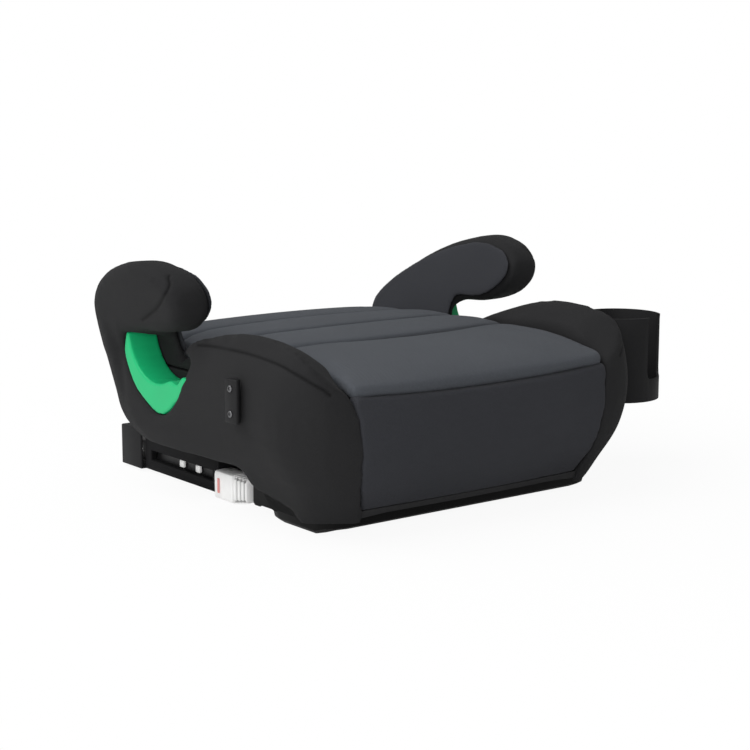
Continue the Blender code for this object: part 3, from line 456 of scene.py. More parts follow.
def set_points(mesh: bpy.types.Mesh, points: np.ndarray) -> None:
    """Moves a mesh's vertices.

    Args:
        mesh: The mesh.
        points: The new places.
    """
    mesh.vertices.foreach_set("co", points.astype(np.float32).ravel())
    mesh.update()


def eased(values: np.ndarray) -> np.ndarray:
    """Eases shares between 0 and 1.

    Args:
        values: The shares, which may lie outside that range.

    Returns:
        The eased shares.
    """
    held = np.clip(values, 0, 1)
    return held * held * (3 - 2 * held)


@dataclass(frozen=True)
class Ramp:
    """An eased step from 0 to 1 along one axis. A negative reach steps towards lower values."""

    axis: int
    start: float
    reach: float
    mirrored: bool = False

    def __call__(self, points: np.ndarray) -> np.ndarray:
        """Gives the height of the step at points.

        Args:
            points: The points.

        Returns:
            Shares from 0 to 1.
        """
        along = points[:, self.axis]
        return eased(((np.abs(along) if self.mirrored else along) - self.start) / self.reach)


def overlap(points: np.ndarray, *ramps: Ramp) -> np.ndarray:
    """Multiplies ramps.

    Args:
        points: The points.
        ramps: The ramps.

    Returns:
        Shares from 0 to 1, high where all the ramps are.
    """
    return np.prod([ramp(points) for ramp in ramps], axis=0)


def new_piece(name: str, mesh: bpy.types.Mesh) -> bpy.types.Object:
    """Puts a mesh in the scene.

    Args:
        name: Name of the piece.
        mesh: Its mesh.

    Returns:
        The new object.
    """
    mesh.name = name
    piece = bpy.data.objects.new(name, mesh)
    bpy.context.scene.collection.objects.link(piece)
    return piece


def piece_of(work: bmesh.types.BMesh, name: str) -> bpy.types.Object:
    """Puts an edited mesh in the scene and frees it.

    Args:
        work: The edited mesh.
        name: Name of the piece.

    Returns:
        The new object.
    """
    mesh = bpy.data.meshes.new(name)
    work.to_mesh(mesh)
    work.free()
    return new_piece(name, mesh)


def modify(piece: bpy.types.Object, kind: str, **settings: object) -> None:
    """Adds a modifier to a piece.

    Args:
        piece: The piece.
        kind: The modifier's type.
        settings: Properties to set on it.
    """
    added = piece.modifiers.new(kind.title(), kind)
    for key, value in settings.items():
        setattr(added, key, value)


def bake(piece: bpy.types.Object) -> None:
    """Turns a piece's modifiers into its plain mesh.

    Args:
        piece: The piece.
    """
    graph = bpy.context.evaluated_depsgraph_get()
    made = bpy.data.meshes.new_from_object(piece.evaluated_get(graph))
    piece.modifiers.clear()
    old = piece.data
    piece.data = made
    made.name = piece.name
    bpy.data.meshes.remove(old)


def merged_copy(nodes: Sequence[str], name: str, flatten: bool = False) -> bpy.types.Object:
    """Copies nodes of the frame into one piece whose faces are joined.

    Args:
        nodes: Names of the nodes.
        name: Name of the piece.
        flatten: Whether the triangles of a flat face become one face.

    Returns:
        The new piece.
    """
    work = bmesh.new()
    for node in nodes:
        work.from_mesh(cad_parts[node].data)
    bmesh.ops.remove_doubles(work, verts=work.verts, dist=MERGE_DISTANCE)
    if flatten:
        bmesh.ops.dissolve_limit(work, angle_limit=FLAT_ANGLE, verts=work.verts, edges=work.edges)
    return piece_of(work, name)


def weigh(piece: bpy.types.Object, name: str, shares: np.ndarray) -> str:
    """Gives a piece a vertex group.

    Args:
        piece: The piece.
        name: Name of the group.
        shares: Weight of each vertex.

    Returns:
        Name of the group.
    """
    group = piece.vertex_groups.new(name=name)
    steps = np.round(shares * WEIGHT_STEPS).astype(int)
    for step in np.unique(steps):
        if step:
            weight = float(step) / WEIGHT_STEPS
            group.add(np.flatnonzero(steps == step).tolist(), weight, "REPLACE")
    return group.name


def mark_creases(piece: bpy.types.Object, shares: np.ndarray) -> None:
    """Marks the vertices where the finishes paint shade, darkening their colour, on top of earlier marks.

    Args:
        piece: The piece.
        shares: Painted shade of each vertex, from 0 to 1.
    """
    attributes = piece.data.attributes
    marks = attributes.get("crease") or attributes.new("crease", "FLOAT", "POINT")
    old = np.empty(len(shares))
    marks.data.foreach_get("value", old)
    marks.data.foreach_set("value", np.maximum(old, shares).astype(np.float32))


class RowTree:
    """Geometry node tree that sets copies of a shape on points, each turned along a direction."""

    def __init__(self, name: str, sockets: dict[str, str]) -> None:
        """Makes the tree's ends.

        Args:
            name: Name of the tree.
            sockets: Type of each input by its name, with the finish as Finish.
        """
        self.tree = bpy.data.node_groups.new(name, "GeometryNodeTree")
        face = self.tree.interface
        for label, kind in sockets.items():
            face.new_socket(label, in_out="INPUT", socket_type="NodeSocket" + kind)
        face.new_socket("Row", in_out="OUTPUT", socket_type="NodeSocketGeometry")
        self.join = self.tree.links.new
        self.given = self.add("NodeGroupInput").outputs
        self.turn = self.add("FunctionNodeAlignRotationToVector", axis="Z")
        self.laid = self.add("GeometryNodeInstanceOnPoints")
        real = self.add("GeometryNodeRealizeInstances")
        dressed = self.add("GeometryNodeSetMaterial")
        self.join(self.turn.outputs[0], self.laid.inputs["Rotation"])
        self.join(self.laid.outputs[0], real.inputs[0])
        self.join(real.outputs[0], dressed.inputs["Geometry"])
        self.join(self.given["Finish"], dressed.inputs["Material"])
        self.join(dressed.outputs[0], self.add("NodeGroupOutput").inputs[0])

    def add(self, kind: str, **settings: object) -> bpy.types.Node:
        """Adds a node.

        Args:
            kind: The node's type.
            settings: Properties to set on it.

        Returns:
            The new node.
        """
        made = self.tree.nodes.new(kind)
        for key, value in settings.items():
            setattr(made, key, value)
        return made

    def lay(self, piece: bpy.types.Object, values: dict[str, object]) -> None:
        """Turns a piece's points into the row.

        Args:
            piece: The piece.
            values: The tree's inputs by name.
        """
        rows = piece.modifiers.new("Row", "NODES")
        rows.node_group = self.tree
        for item in self.tree.interface.items_tree:
            if item.name in values:
                rows[item.identifier] = values[item.name]
        bake(piece)
        piece.data.shade_smooth()


class Upholstery:
    """Makes sewn and stuffed pieces out of the frame's plain soft solids."""

    CLOTH = {
        "quality": 5, "mass": 0.25, "tension_stiffness": 12, "compression_stiffness": 12,
        "shear_stiffness": 6, "bending_stiffness": 0.6, "use_pressure": True}
    FRAMES = 20
    # Width of the painted shade along a sewn line, as a share of the groove's half width.
    CREASE_SHARE = 0.7

    def __init__(self, finishes: Finishes) -> None:
        """Keeps the finishes and makes the stitches' node tree.

        Args:
            finishes: Finishes of the seat.
        """
        self.finishes = finishes
        self.stitch_tree = self.make_stitch_tree()

    def skin(self, nodes: Sequence[str], name: str, voxel: float, shrink: float, relax: int,
             filler: Sequence[Sequence[float]] = ()) -> bpy.types.Object:
        """Wraps nodes in one even skin of small faces.

        Args:
            nodes: Names of the nodes.
            name: Name of the piece.
            voxel: Size of the faces.
            shrink: How much smaller the skin starts.
            relax: Passes of smoothing.
            filler: Points whose hull is filled as well.

        Returns:
            The skin as a new piece.
        """
        piece = merged_copy(nodes, name)
        if len(filler):
            work = bmesh.new()
            work.from_mesh(piece.data)
            hull = bmesh.ops.convex_hull(work, input=[work.verts.new(point) for point in filler])
            spare = [item for item in hull["geom_interior"] if isinstance(item, bmesh.types.BMVert)]
            bmesh.ops.delete(work, geom=spare, context="VERTS")
            work.to_mesh(piece.data)
            work.free()
        modify(piece, "REMESH", mode="VOXEL", voxel_size=voxel, use_smooth_shade=True)
        bake(piece)
        set_points(piece.data, points_of(piece.data) - shrink * normals_of(piece.data))
        modify(piece, "SMOOTH", factor=0.5, iterations=relax)
        bake(piece)
        return piece

    def stuff(self, piece: bpy.types.Object, free: np.ndarray, pressure: float, cap: float) -> None:
        """Fills a skin by a cloth simulation under pressure, and keeps the result in its mesh.

        Args:
            piece: The skin.
            free: How free each vertex is to move, from 0 to 1.
            pressure: Pressure of the filling.
            cap: Furthest that a vertex may move.
        """
        rest = points_of(piece.data)
        held = weigh(piece, "held", 1 - free)
        cloth = piece.modifiers.new("Filling", "CLOTH")
        settings = cloth.settings
        for key, value in self.CLOTH.items():
            setattr(settings, key, value)
        settings.uniform_pressure_force = pressure
        settings.vertex_group_mass = held
        settings.effector_weights.gravity = 0
        cloth.collision_settings.use_collision = False
        cloth.collision_settings.use_self_collision = False
        scene = bpy.context.scene
        for step in range(1, self.FRAMES + 1):
            scene.frame_set(step)
        graph = bpy.context.evaluated_depsgraph_get()
        filled = points_of(piece.evaluated_get(graph).data)
        piece.modifiers.remove(cloth)
        piece.vertex_groups.clear()
        scene.frame_set(1)
        move = filled - rest
        length = np.maximum(np.linalg.norm(move, axis=1, keepdims=True), 1e-9)
        limited = move / length * cap * np.tanh(length / cap)
        set_points(piece.data, rest + limited * free[:, None])

    def soften(self, piece: bpy.types.Object, share: np.ndarray, passes: int) -> None:
        """Smooths a part of a skin.

        Args:
            piece: The skin.
            share: How much each vertex is smoothed, from 0 to 1.
            passes: Passes of smoothing.
        """
        group = weigh(piece, "soft", share)
        modify(piece, "SMOOTH", factor=0.5, iterations=passes, vertex_group=group)
        bake(piece)
        piece.vertex_groups.clear()

    def refine(self, piece: bpy.types.Object) -> None:
        """Gives a skin one subdivision and smooth shading.

        Args:
            piece: The skin.
        """
        modify(piece, "SUBSURF", levels=1, render_levels=1)
        bake(piece)
        piece.data.shade_smooth()

    def finish(self, piece: bpy.types.Object, slot: Slot, nodes: Sequence[str], fill: float) -> None:
        """Dresses a padded cover and lets it stand for its nodes.

        Args:
            piece: The cover.
            slot: Slot of the record that its finish belongs to.
            nodes: Names of the nodes.
            fill: How tightly it is filled, from 0 to 1; not used.
        """
        self.finishes.dress(piece, slot)
        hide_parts(*nodes)

    def surface_line(self, piece: bpy.types.Object, starts: Sequence[Vector],
                     way: Vector) -> list[Vector]:
        """Drops points onto a piece along a direction.

        Args:
            piece: The piece.
            starts: Points outside it.
            way: Direction to look for it.

        Returns:
            The points where it was met.
        """
        tree = BVHTree.FromObject(piece, bpy.context.evaluated_depsgraph_get())
        found = [tree.ray_cast(start, way)[0] for start in starts]
        return [point for point in found if point is not None]

    def press(self, piece: bpy.types.Object, line: Sequence[Vector], width: float,
              depth: float) -> None:
        """Presses a sewn line into a piece and marks it for the fabric's painted shade.

        Args:
            piece: The piece.
            line: Points of the line, close together.
            width: Half the width of the groove.
            depth: Depth of the groove.
        """
        tree = KDTree(len(line))
        for index, point in enumerate(line):
            tree.insert(point, index)
        tree.balance()
        points = points_of(piece.data)
        away = np.array([tree.find(point)[2] for point in points])
        share = eased(1 - away / width)
        set_points(piece.data, points - (depth * share)[:, None] * normals_of(piece.data))
        # Painted shade along the sewn line, narrower than its groove.
        mark_creases(piece, eased(1 - away / (width * self.CREASE_SHARE)))

    def make_stitch_tree(self) -> RowTree:
        """Makes the node tree that lays stitches along a line.

        Returns:
            The tree.
        """
        row = RowTree("stitch_row", {"Line": "Geometry", "Pitch": "Float", "Length": "Float",
                                     "Thickness": "Float", "Finish": "Material"})
        curve = row.add("GeometryNodeMeshToCurve")
        spaced = row.add("GeometryNodeResampleCurve", mode="LENGTH")
        ball = row.add("GeometryNodeMeshUVSphere")
        for socket, value in (("Segments", 6), ("Rings", 4), ("Radius", 0.5)):
            ball.inputs[socket].default_value = value
        scale = row.add("ShaderNodeCombineXYZ")
        shaped = row.add("GeometryNodeTransform")
        tangent = row.add("GeometryNodeInputTangent")
        row.join(row.given["Line"], curve.inputs[0])
        row.join(curve.outputs[0], spaced.inputs["Curve"])
        row.join(row.given["Pitch"], spaced.inputs["Length"])
        for index, name in enumerate(("Thickness", "Thickness", "Length")):
            row.join(row.given[name], scale.inputs[index])
        row.join(ball.outputs["Mesh"], shaped.inputs["Geometry"])
        row.join(scale.outputs[0], shaped.inputs["Scale"])
        row.join(spaced.outputs[0], row.laid.inputs["Points"])
        row.join(shaped.outputs[0], row.laid.inputs["Instance"])
        row.join(tangent.outputs[0], row.turn.inputs["Vector"])
        return row

    def stitch(self, name: str, lines: Sequence[Sequence[Vector]], slot: Slot,
               pitch: float = 0.0042, length: float = 0.0030, thickness: float = 0.0008) -> None:
        """Lays rows of stitches along lines and sets them on the seat.

        Args:
            name: Name of the piece.
            lines: Points of each row.
            slot: Slot of the record that the thread goes with; not used.
            pitch: Distance from stitch to stitch.
            length: Length of a stitch.
            thickness: Thickness of the thread.
        """
        mesh = bpy.data.meshes.new(name)
        points, edges = [], []
        for line in lines:
            edges += [(len(points) + i, len(points) + i + 1) for i in range(len(line) - 1)]
            points += [tuple(point) for point in line]
        mesh.from_pydata(points, edges, [])
        piece = new_piece(name, mesh)
        self.stitch_tree.lay(piece, {"Pitch": pitch, "Length": length, "Thickness": thickness,
                                     "Finish": self.finishes.thread})
        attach(piece, SEAT)
        LOG.info("%s: %d faces of stitching", name, len(piece.data.polygons))


def spread(points: Sequence[Sequence[float]], count: int) -> list[Vector]:
    """Runs a smooth curve through points.

    Args:
        points: Points to pass through.
        count: Points on each stretch.

    Returns:
        Points along the curve.
    """
    held = [Vector(p) for p in points]
    held = [2 * held[0] - held[1], *held, 2 * held[-1] - held[-2]]
    made = []
    for a, b, c, d in zip(held, held[1:], held[2:], held[3:]):
        for i in range(count):
            t = i / count
            made.append(0.5 * (2 * b + (c - a) * t + (2 * a - 5 * b + 4 * c - d) * t * t
                               + (3 * b - a - 3 * c + d) * t ** 3))
    return [*made, held[-2]]


@dataclass
class SeatCushion:
    """The grey top cushion with its sewn channels, and the panels sewn to its front and rear."""

    shop: Upholstery
    cushion_skin: tuple[float, float, int] = (0.0041, 0.0003, 2)
    front_skin: tuple[float, float, int] = (0.0032, 0.0003, 3)
    rear_skin: tuple[float, float, int] = (0.0040, 0.0006, 2)
    cushion_filling: tuple[float, float] = (4.0, 0.005)
    panel_filling: tuple[float, float] = (3.0, 0.004)
    half: float = 0.166
    rear: float = 0.176
    channels: tuple[tuple[float, float], ...] = ((0.092, 0.000), (0.000, 0.016), (-0.095, 0.034))
    channel_end: float = 0.004
    channel_width: float = 0.0075
    channel_depth: float = 0.0042
    channel_points: int = 241
    above: float = 0.4
    seam_lift: float = 0.0055
    seam_half: float = 0.170
    seam_overlap: float = 0.0020
    lip_share: float = 0.5
    end_share: float = 0.7
    seam_start: float = 0.085
    roll_start: float = -0.095
    roll_reach: float = 0.1225
    roll_base: float = 0.131
    roll_rise: float = 0.0365
    roll_share: float = 0.8
    roll_passes: int = 12
    rear_taper: float = 0.042
    front_taper: float = 0.050
    corner_fill: float = 0.005
    panel_fill: float = 0.6
    panel_rim: float = 0.007
    pocket: float = 0.030
    facing: float = 1.6
    front_part: tuple[Ramp, ...] = (Ramp(Y, -0.120, -0.05), Ramp(Z, 0.160, -0.026))
    lip_part: tuple[Ramp, ...] = (Ramp(Y, -0.190, -0.012), Ramp(Z, 0.140, -0.007))
    roll_part: tuple[Ramp, ...] = (Ramp(Y, -0.165, -0.02), Ramp(Z, 0.134, 0.004))
    corner_part: Ramp = Ramp(X, 0.138, 0.024, True)
    corner_front: Ramp = Ramp(Y, -0.185, -0.02)
    taper_rear: Ramp = Ramp(Y, 0.050, 0.10)
    taper_front: Ramp = Ramp(Y, -0.120, -0.08)
    panel_ends: Ramp = Ramp(X, 0.150, 0.012, True)

    def lift(self, x: np.ndarray) -> np.ndarray:
        """Gives how far the front seam rises above its middle.

        Args:
            x: Places across the seat.

        Returns:
            One height for each.
        """
        return self.seam_lift * np.clip(np.abs(x) / self.seam_half, 0, 1) ** 2

    def roll_top(self, y: np.ndarray) -> np.ndarray:
        """Gives the height of the rounded front of the cushion.

        Args:
            y: Places along the seat.

        Returns:
            One height for each, above all of the cushion behind the roll.
        """
        ahead = np.clip((self.roll_start - y) / self.roll_reach, 0, 1)
        return np.where(ahead > 0, self.roll_base + self.roll_rise * np.sqrt(1 - ahead * ahead), 1.0)

    def channel_gap(self, points: np.ndarray) -> np.ndarray:
        """Gives the distance of points from the nearest channel, seen from above.

        Args:
            points: The points.

        Returns:
            One distance for each.
        """
        bows = (points[:, X] / self.half) ** 2
        return np.min([np.abs(points[:, Y] - middle - bow * bows) for middle, bow in self.channels], axis=0)

    def channel_rows(self, piece: bpy.types.Object) -> list[list[Vector]]:
        """Lays the lines of the channels on the cushion.

        Args:
            piece: The cushion.

        Returns:
            Points of each line.
        """
        reach = self.half - self.channel_end
        rows = []
        for middle, bow in self.channels:
            starts = [Vector((reach * t, middle + bow * (reach * t / self.half) ** 2, self.above))
                      for t in np.linspace(-1, 1, self.channel_points)]
            rows.append(self.shop.surface_line(piece, starts, Vector((0, 0, -1))))
        return rows

    def build_cushion(self) -> None:
        """Makes the cushion, filled between its channels."""
        piece = self.shop.skin(("seat_pad",), "cushion_cover", *self.cushion_skin)
        points, normals = points_of(piece.data), normals_of(piece.data)
        edge = np.minimum(self.half - np.abs(points[:, X]), self.rear - points[:, Y])
        free = eased(normals[:, Z] * self.facing) * eased(self.channel_gap(points) / self.pocket)
        self.shop.stuff(piece, free * eased(edge / self.pocket), *self.cushion_filling)
        points = points_of(piece.data)
        front, lip = overlap(points, *self.front_part), overlap(points, *self.lip_part)
        corner = self.corner_part(points)
        points[:, Z] -= self.roll_share * np.maximum(points[:, Z] - self.roll_top(points[:, Y]), 0)
        points[:, Z] += front * self.lift(points[:, X]) - lip * self.seam_overlap * (self.lip_share + corner)
        points[:, X] *= 1 - self.rear_taper * self.taper_rear(points)
        points[:, X] *= 1 - self.front_taper * self.taper_front(points)
        points[:, X] += np.sign(points[:, X]) * self.corner_fill * corner * self.corner_front(points)
        set_points(piece.data, points)
        self.shop.soften(piece, overlap(points, *self.roll_part), self.roll_passes)
        self.shop.refine(piece)
        rows = self.channel_rows(piece)
        for row in rows:
            self.shop.press(piece, row, self.channel_width, self.channel_depth)
        self.shop.finish(piece, Slot.GREY_FABRIC, ("seat_pad",), 0.7)
        self.shop.stitch("cushion_stitches", rows, Slot.GREY_FABRIC)

    def build_front(self) -> None:
        """Makes the front panel, its top edge shaped to meet the cushion."""
        piece = self.shop.skin(("front_panel",), "front_cover", *self.front_skin)
        points, normals = points_of(piece.data), normals_of(piece.data)
        low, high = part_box("front_panel")
        edge = np.minimum.reduce([self.seam_half - np.abs(points[:, X]), points[:, Z] - low.z,
                                  high.z - points[:, Z]])
        free = eased(-normals[:, Y] * self.facing) * eased(edge / self.pocket)
        self.shop.stuff(piece, free, *self.panel_filling)
        points = points_of(piece.data)
        rise = eased((points[:, Z] - self.seam_start) / (high.z - self.seam_start))
        rim = eased((points[:, Z] - high.z + self.panel_rim) / self.panel_rim)
        ends = self.panel_ends(points)
        points[:, Z] += rise * self.lift(points[:, X]) + rim * self.seam_overlap * (1 + self.end_share * ends)
        points[:, X] += np.sign(points[:, X]) * self.corner_fill * self.panel_fill * ends
        points[:, X] *= 1 - self.front_taper
        set_points(piece.data, points)
        self.shop.refine(piece)
        self.shop.finish(piece, Slot.PANEL_FABRIC, ("front_panel",), 0.6)

    def build_rear(self) -> None:
        """Makes the black rear panel."""
        piece = self.shop.skin(("rear_panel",), "rear_cover", *self.rear_skin)
        points, normals = points_of(piece.data), normals_of(piece.data)
        low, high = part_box("rear_panel")
        edge = np.minimum.reduce([high.x - np.abs(points[:, X]), points[:, Z] - low.z,
                                  high.z - points[:, Z]])
        free = eased(normals[:, Y] * self.facing) * eased(edge / self.pocket)
        self.shop.stuff(piece, free, *self.panel_filling)
        self.shop.refine(piece)
        self.shop.finish(piece, Slot.BLACK_FABRIC, ("rear_panel",), 0.6)

    def build(self) -> None:
        """Makes the cushion and its panels."""
        self.build_cushion()
        self.build_front()
        self.build_rear()


@dataclass
class SideCover:
    """The black padded side: bolster, hooked arm and draped foot under one cover, with its seams."""

    shop: Upholstery
    side: Side
    top_seam: tuple[tuple[float, float], ...] = (
        (-0.030, 0.1690), (-0.042, 0.1700), (-0.058, 0.1707), (-0.101, 0.1712), (-0.135, 0.1699),
        (-0.167, 0.1665), (-0.189, 0.1590), (-0.203, 0.1496), (-0.208, 0.1427))
    arm_seam: tuple[tuple[float, float], ...] = (
        (-0.0075, 0.2360), (-0.016, 0.2274), (-0.0139, 0.2186), (0.005, 0.2047), (0.0315, 0.1926),
        (0.0450, 0.1870))
    seam_width: float = 0.0034
    seam_depth: float = 0.0009
    seam_points: int = 24
    outside: float = 0.4
    skin_sizes: tuple[float, float, int] = (0.0036, 0.0003, 3)
    panel_sizes: tuple[float, float, int] = (0.0016, 0.0, 3)
    filling: tuple[float, float] = (3.0, 0.004)
    bracket: tuple[float, float] = (-0.113, 0.128)
    bracket_reach: float = 0.024
    guide: tuple[float, float] = (0.042, 0.130)
    guide_reach: float = 0.075
    hold_blend: float = 0.03
    facing: float = 1.5
    free_part: Ramp = Ramp(Z, 0.030, 0.03)
    tray_half: float = 0.172
    tray_front: float = 0.186
    tray_corner: float = 0.022
    tray_blend: float = 0.004
    drape_part: tuple[Ramp, ...] = (Ramp(Z, 0.056, -0.030), Ramp(Y, -0.078, -0.012))
    drape_front: Ramp = Ramp(Y, -0.140, -0.040)
    drop_side: float = 0.0165
    drop_front: float = 0.0125
    draw_in: float = 0.0030
    draw_start: float = 0.002
    wrap_part: tuple[Ramp, ...] = (Ramp(X, 0.192, -0.030, True), Ramp(Y, -0.120, -0.070))
    corner_wrap: float = 0.0085
    bay_edge: tuple[tuple[float, float], ...] = (
        (0.060, 0.040), (0.118, 0.029), (0.153, 0.022), (0.200, 0.015))
    bay_part: tuple[Ramp, ...] = (Ramp(Y, -0.150, 0.020), Ramp(Y, -0.020, -0.01))
    bay_blend: float = 0.004
    bay_tuck: float = 0.007
    root_front: float = 0.070
    root_low: float = 0.062
    root_high: float = 0.185
    root_level: float = 0.004
    root_way: tuple[float, float] = (0.793, 0.609)
    root_depth: float = 0.010
    root_stretch: float = 0.014
    stretch_part: tuple[Ramp, ...] = (Ramp(Y, 0.045, 0.05), Ramp(Z, 0.222, -0.075), Ramp(Z, 0.138, 0.008))
    stretch_blend: float = 0.04
    stretch_cover: float = 0.226
    stretch_panel: float = 0.300
    softened: tuple[tuple[tuple[Ramp, ...], int], ...] = (
        ((Ramp(Y, 0.060, 0.02), Ramp(Z, 0.080, 0.02), Ramp(Z, 0.185, -0.02)), 5),
        ((Ramp(Z, 0.195, 0.02),), 8),
        ((Ramp(Y, -0.030, -0.02), Ramp(Z, 0.118, 0.02), Ramp(Z, 0.205, -0.01)), 16))
    panel_part: Ramp = Ramp(Z, 0.140, 0.015)
    panel_grow: float = 0.0045

    def tray_gap(self, points: np.ndarray) -> np.ndarray:
        """Gives how far outside the tray's line points are, seen from above.

        Args:
            points: The points.

        Returns:
            One distance for each, negative inside the line.
        """
        across = np.abs(points[:, X]) - self.tray_half + self.tray_corner
        ahead = -points[:, Y] - self.tray_front + self.tray_corner
        outside = np.hypot(np.maximum(across, 0), np.maximum(ahead, 0))
        return outside + np.minimum(np.maximum(across, ahead), 0) - self.tray_corner

    def drape(self, piece: bpy.types.Object) -> None:
        """Draws the cover's foot down beside the tray, and tucks it in ahead of the handle's bay.

        Args:
            piece: The cover.
        """
        points = points_of(piece.data)
        gap = self.tray_gap(points)
        share = overlap(points, *self.drape_part) * eased(gap / self.tray_blend)
        points[:, X] -= np.sign(points[:, X]) * self.corner_wrap * overlap(points, *self.wrap_part)
        drop = self.drop_side + (self.drop_front - self.drop_side) * self.drape_front(points)
        points[:, Z] -= drop * share
        drawn = self.draw_in * share * eased((gap - self.draw_start) / self.tray_blend)
        points[:, X] -= np.sign(points[:, X]) * drawn
        points[:, X] -= np.sign(points[:, X]) * self.bay_tuck * self.under_edge(points)
        set_points(piece.data, points)

    def under_edge(self, points: np.ndarray) -> np.ndarray:
        """Tells which points lie under the slanting edge that the cover has above the handle's bay.

        Args:
            points: The cover's points.

        Returns:
            Shares from 0 to 1.
        """
        edge = np.interp(-points[:, Y], *zip(*self.bay_edge))
        return overlap(points, *self.bay_part) * eased((edge - points[:, Z]) / self.bay_blend)

    def root_strip(self, piece: bpy.types.Object) -> np.ndarray:
        """Finds the outer rear edge of arm and side, whose hull fills the step between them.

        Args:
            piece: A skin of arm and side.

        Returns:
            Points of the edge.
        """
        points = points_of(piece.data)
        points = points[(points[:, Y] > self.root_front) & (points[:, Z] > self.root_low)]
        points = points[points[:, Z] < self.root_high]
        reach = points @ np.array((self.side.value * self.root_way[0], self.root_way[1], 0.0))
        levels = np.round(points[:, Z] / self.root_level).astype(int)
        kept = [points[(levels == level) & (reach > reach[levels == level].max() - self.root_depth)]
                for level in np.unique(levels)]
        return np.concatenate(kept)

    def soften_edges(self, piece: bpy.types.Object) -> None:
        """Smooths the arm's root, the arm's top and the side's ridge.

        Args:
            piece: The cover.
        """
        points = points_of(piece.data)
        for ramps, passes in self.softened:
            self.shop.soften(piece, overlap(points, *ramps), passes)

    def stretch_root(self, piece: bpy.types.Object, inner: float) -> None:
        """Runs the arm's root back along the cushion.

        Args:
            piece: The cover or the arm's inner panel.
            inner: How far from the middle of the seat the stretch ends.
        """
        points = points_of(piece.data)
        side = Ramp(X, inner, -self.stretch_blend, True)
        points[:, Y] += self.root_stretch * overlap(points, *self.stretch_part, side)
        set_points(piece.data, points)

    def widen(self, panel: bpy.types.Object) -> None:
        """Spreads the arm's inner panel towards the arm's edge without making it thicker.

        Args:
            panel: The panel's cover.
        """
        points, normals = points_of(panel.data), normals_of(panel.data)
        middle = points.mean(axis=0)
        across = np.linalg.eigh(np.cov((points - middle).T))[1][:, 0]
        thick = np.ptp((points - middle) @ across)
        grown = points + self.panel_grow * self.panel_part(points)[:, None] * normals
        surplus = (grown - middle) @ across * (1 - thick / (thick + 2 * self.panel_grow))
        set_points(panel.data, grown - surplus[:, None] * across)

    def free(self, points: np.ndarray, normals: np.ndarray) -> np.ndarray:
        """Gives how free the cover is to fill: its outer face, away from what is screwed to it.

        Args:
            points: The cover's points.
            normals: Their normals.

        Returns:
            Shares from 0 to 1.
        """
        shares = eased(normals[:, X] * self.side.value * self.facing)
        for place, reach in ((self.bracket, self.bracket_reach), (self.guide, self.guide_reach)):
            away = np.hypot(points[:, Y] - place[0], points[:, Z] - place[1])
            shares = shares * eased((away - reach) / self.hold_blend)
        return shares * self.free_part(points)

    def build(self) -> None:
        """Makes the side's cover and the arm's inner panel."""
        label, way = self.side.label, self.side.value
        nodes = ("side_bolster_" + label, "armrest_" + label)
        plain = self.shop.skin(nodes, "plain_cover_" + label, *self.skin_sizes)
        piece = self.shop.skin(nodes, "side_cover_" + label, *self.skin_sizes, self.root_strip(plain))
        bpy.data.objects.remove(plain)
        free = self.free(points_of(piece.data), normals_of(piece.data))
        self.shop.stuff(piece, free, *self.filling)
        self.soften_edges(piece)
        self.stretch_root(piece, self.stretch_cover)
        self.drape(piece)
        self.shop.refine(piece)
        # Painted shade on the cover tucked in under the bay's slanting edge.
        mark_creases(piece, self.under_edge(points_of(piece.data)))
        for seam in (self.top_seam, self.arm_seam):
            starts = [Vector((way * self.outside, p[0], p[1]))
                      for p in spread([(*p, 0.0) for p in seam], self.seam_points)]
            row = self.shop.surface_line(piece, starts, Vector((-way, 0, 0)))
            self.shop.press(piece, row, self.seam_width, self.seam_depth)
        self.shop.finish(piece, Slot.BLACK_FABRIC, nodes, 0.6)
        panel = self.shop.skin(("armrest_pad_" + label,), "arm_panel_" + label, *self.panel_sizes)
        self.widen(panel)
        self.stretch_root(panel, self.stretch_panel)
        self.shop.refine(panel)
        self.shop.finish(panel, Slot.PANEL_FABRIC, ("armrest_pad_" + label,), 0.5)


@dataclass
class Moulding:
    """A rigid plastic piece of the frame, with its edges rounded."""

    finishes: Finishes
    node: str
    name: str
    slot: Slot
    body: str = SEAT
    edge: float = 0.0010
    steps: int = 2
    fold: float = math.radians(34)
    sharp: float = math.radians(38)
    finish: Optional[bpy.types.Material] = None

    def build(self) -> bpy.types.Object:
        """Makes the piece.

        Returns:
            The finished piece.
        """
        piece = merged_copy((self.node,), self.name, flatten=True)
        modify(piece, "BEVEL", width=self.edge, segments=self.steps, limit_method="ANGLE",
               angle_limit=self.fold)
        bake(piece)
        piece.data.shade_smooth()
        piece.data.set_sharp_from_angle(angle=self.sharp)
        self.finishes.dress(piece, self.slot, self.body, self.finish)
        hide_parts(self.node)
        return piece


@dataclass
class BeltGuide:
    """The green belt guide, its channel running into its face in a soft round."""

    finishes: Finishes
    side: Side
    voxel: float = 0.0011
    relax: int = 16
    horn_part: Ramp = Ramp(Y, 0.020, -0.020)
    horn_base: float = 0.105
    horn_sink: float = 0.40

    def build(self) -> None:
        """Makes the guide."""
        node = "belt_guide_" + self.side.label
        piece = merged_copy((node,), "belt_guide_shell_" + self.side.label)
        modify(piece, "REMESH", mode="VOXEL", voxel_size=self.voxel)
        modify(piece, "SMOOTH", factor=0.5, iterations=self.relax)
        bake(piece)
        points = points_of(piece.data)
        raised = np.maximum(points[:, Z] - self.horn_base, 0)
        points[:, Z] -= self.horn_sink * self.horn_part(points) * raised
        set_points(piece.data, points)
        piece.data.shade_smooth()
        self.finishes.dress(piece, Slot.GREEN_PLASTIC)
        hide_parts(node)


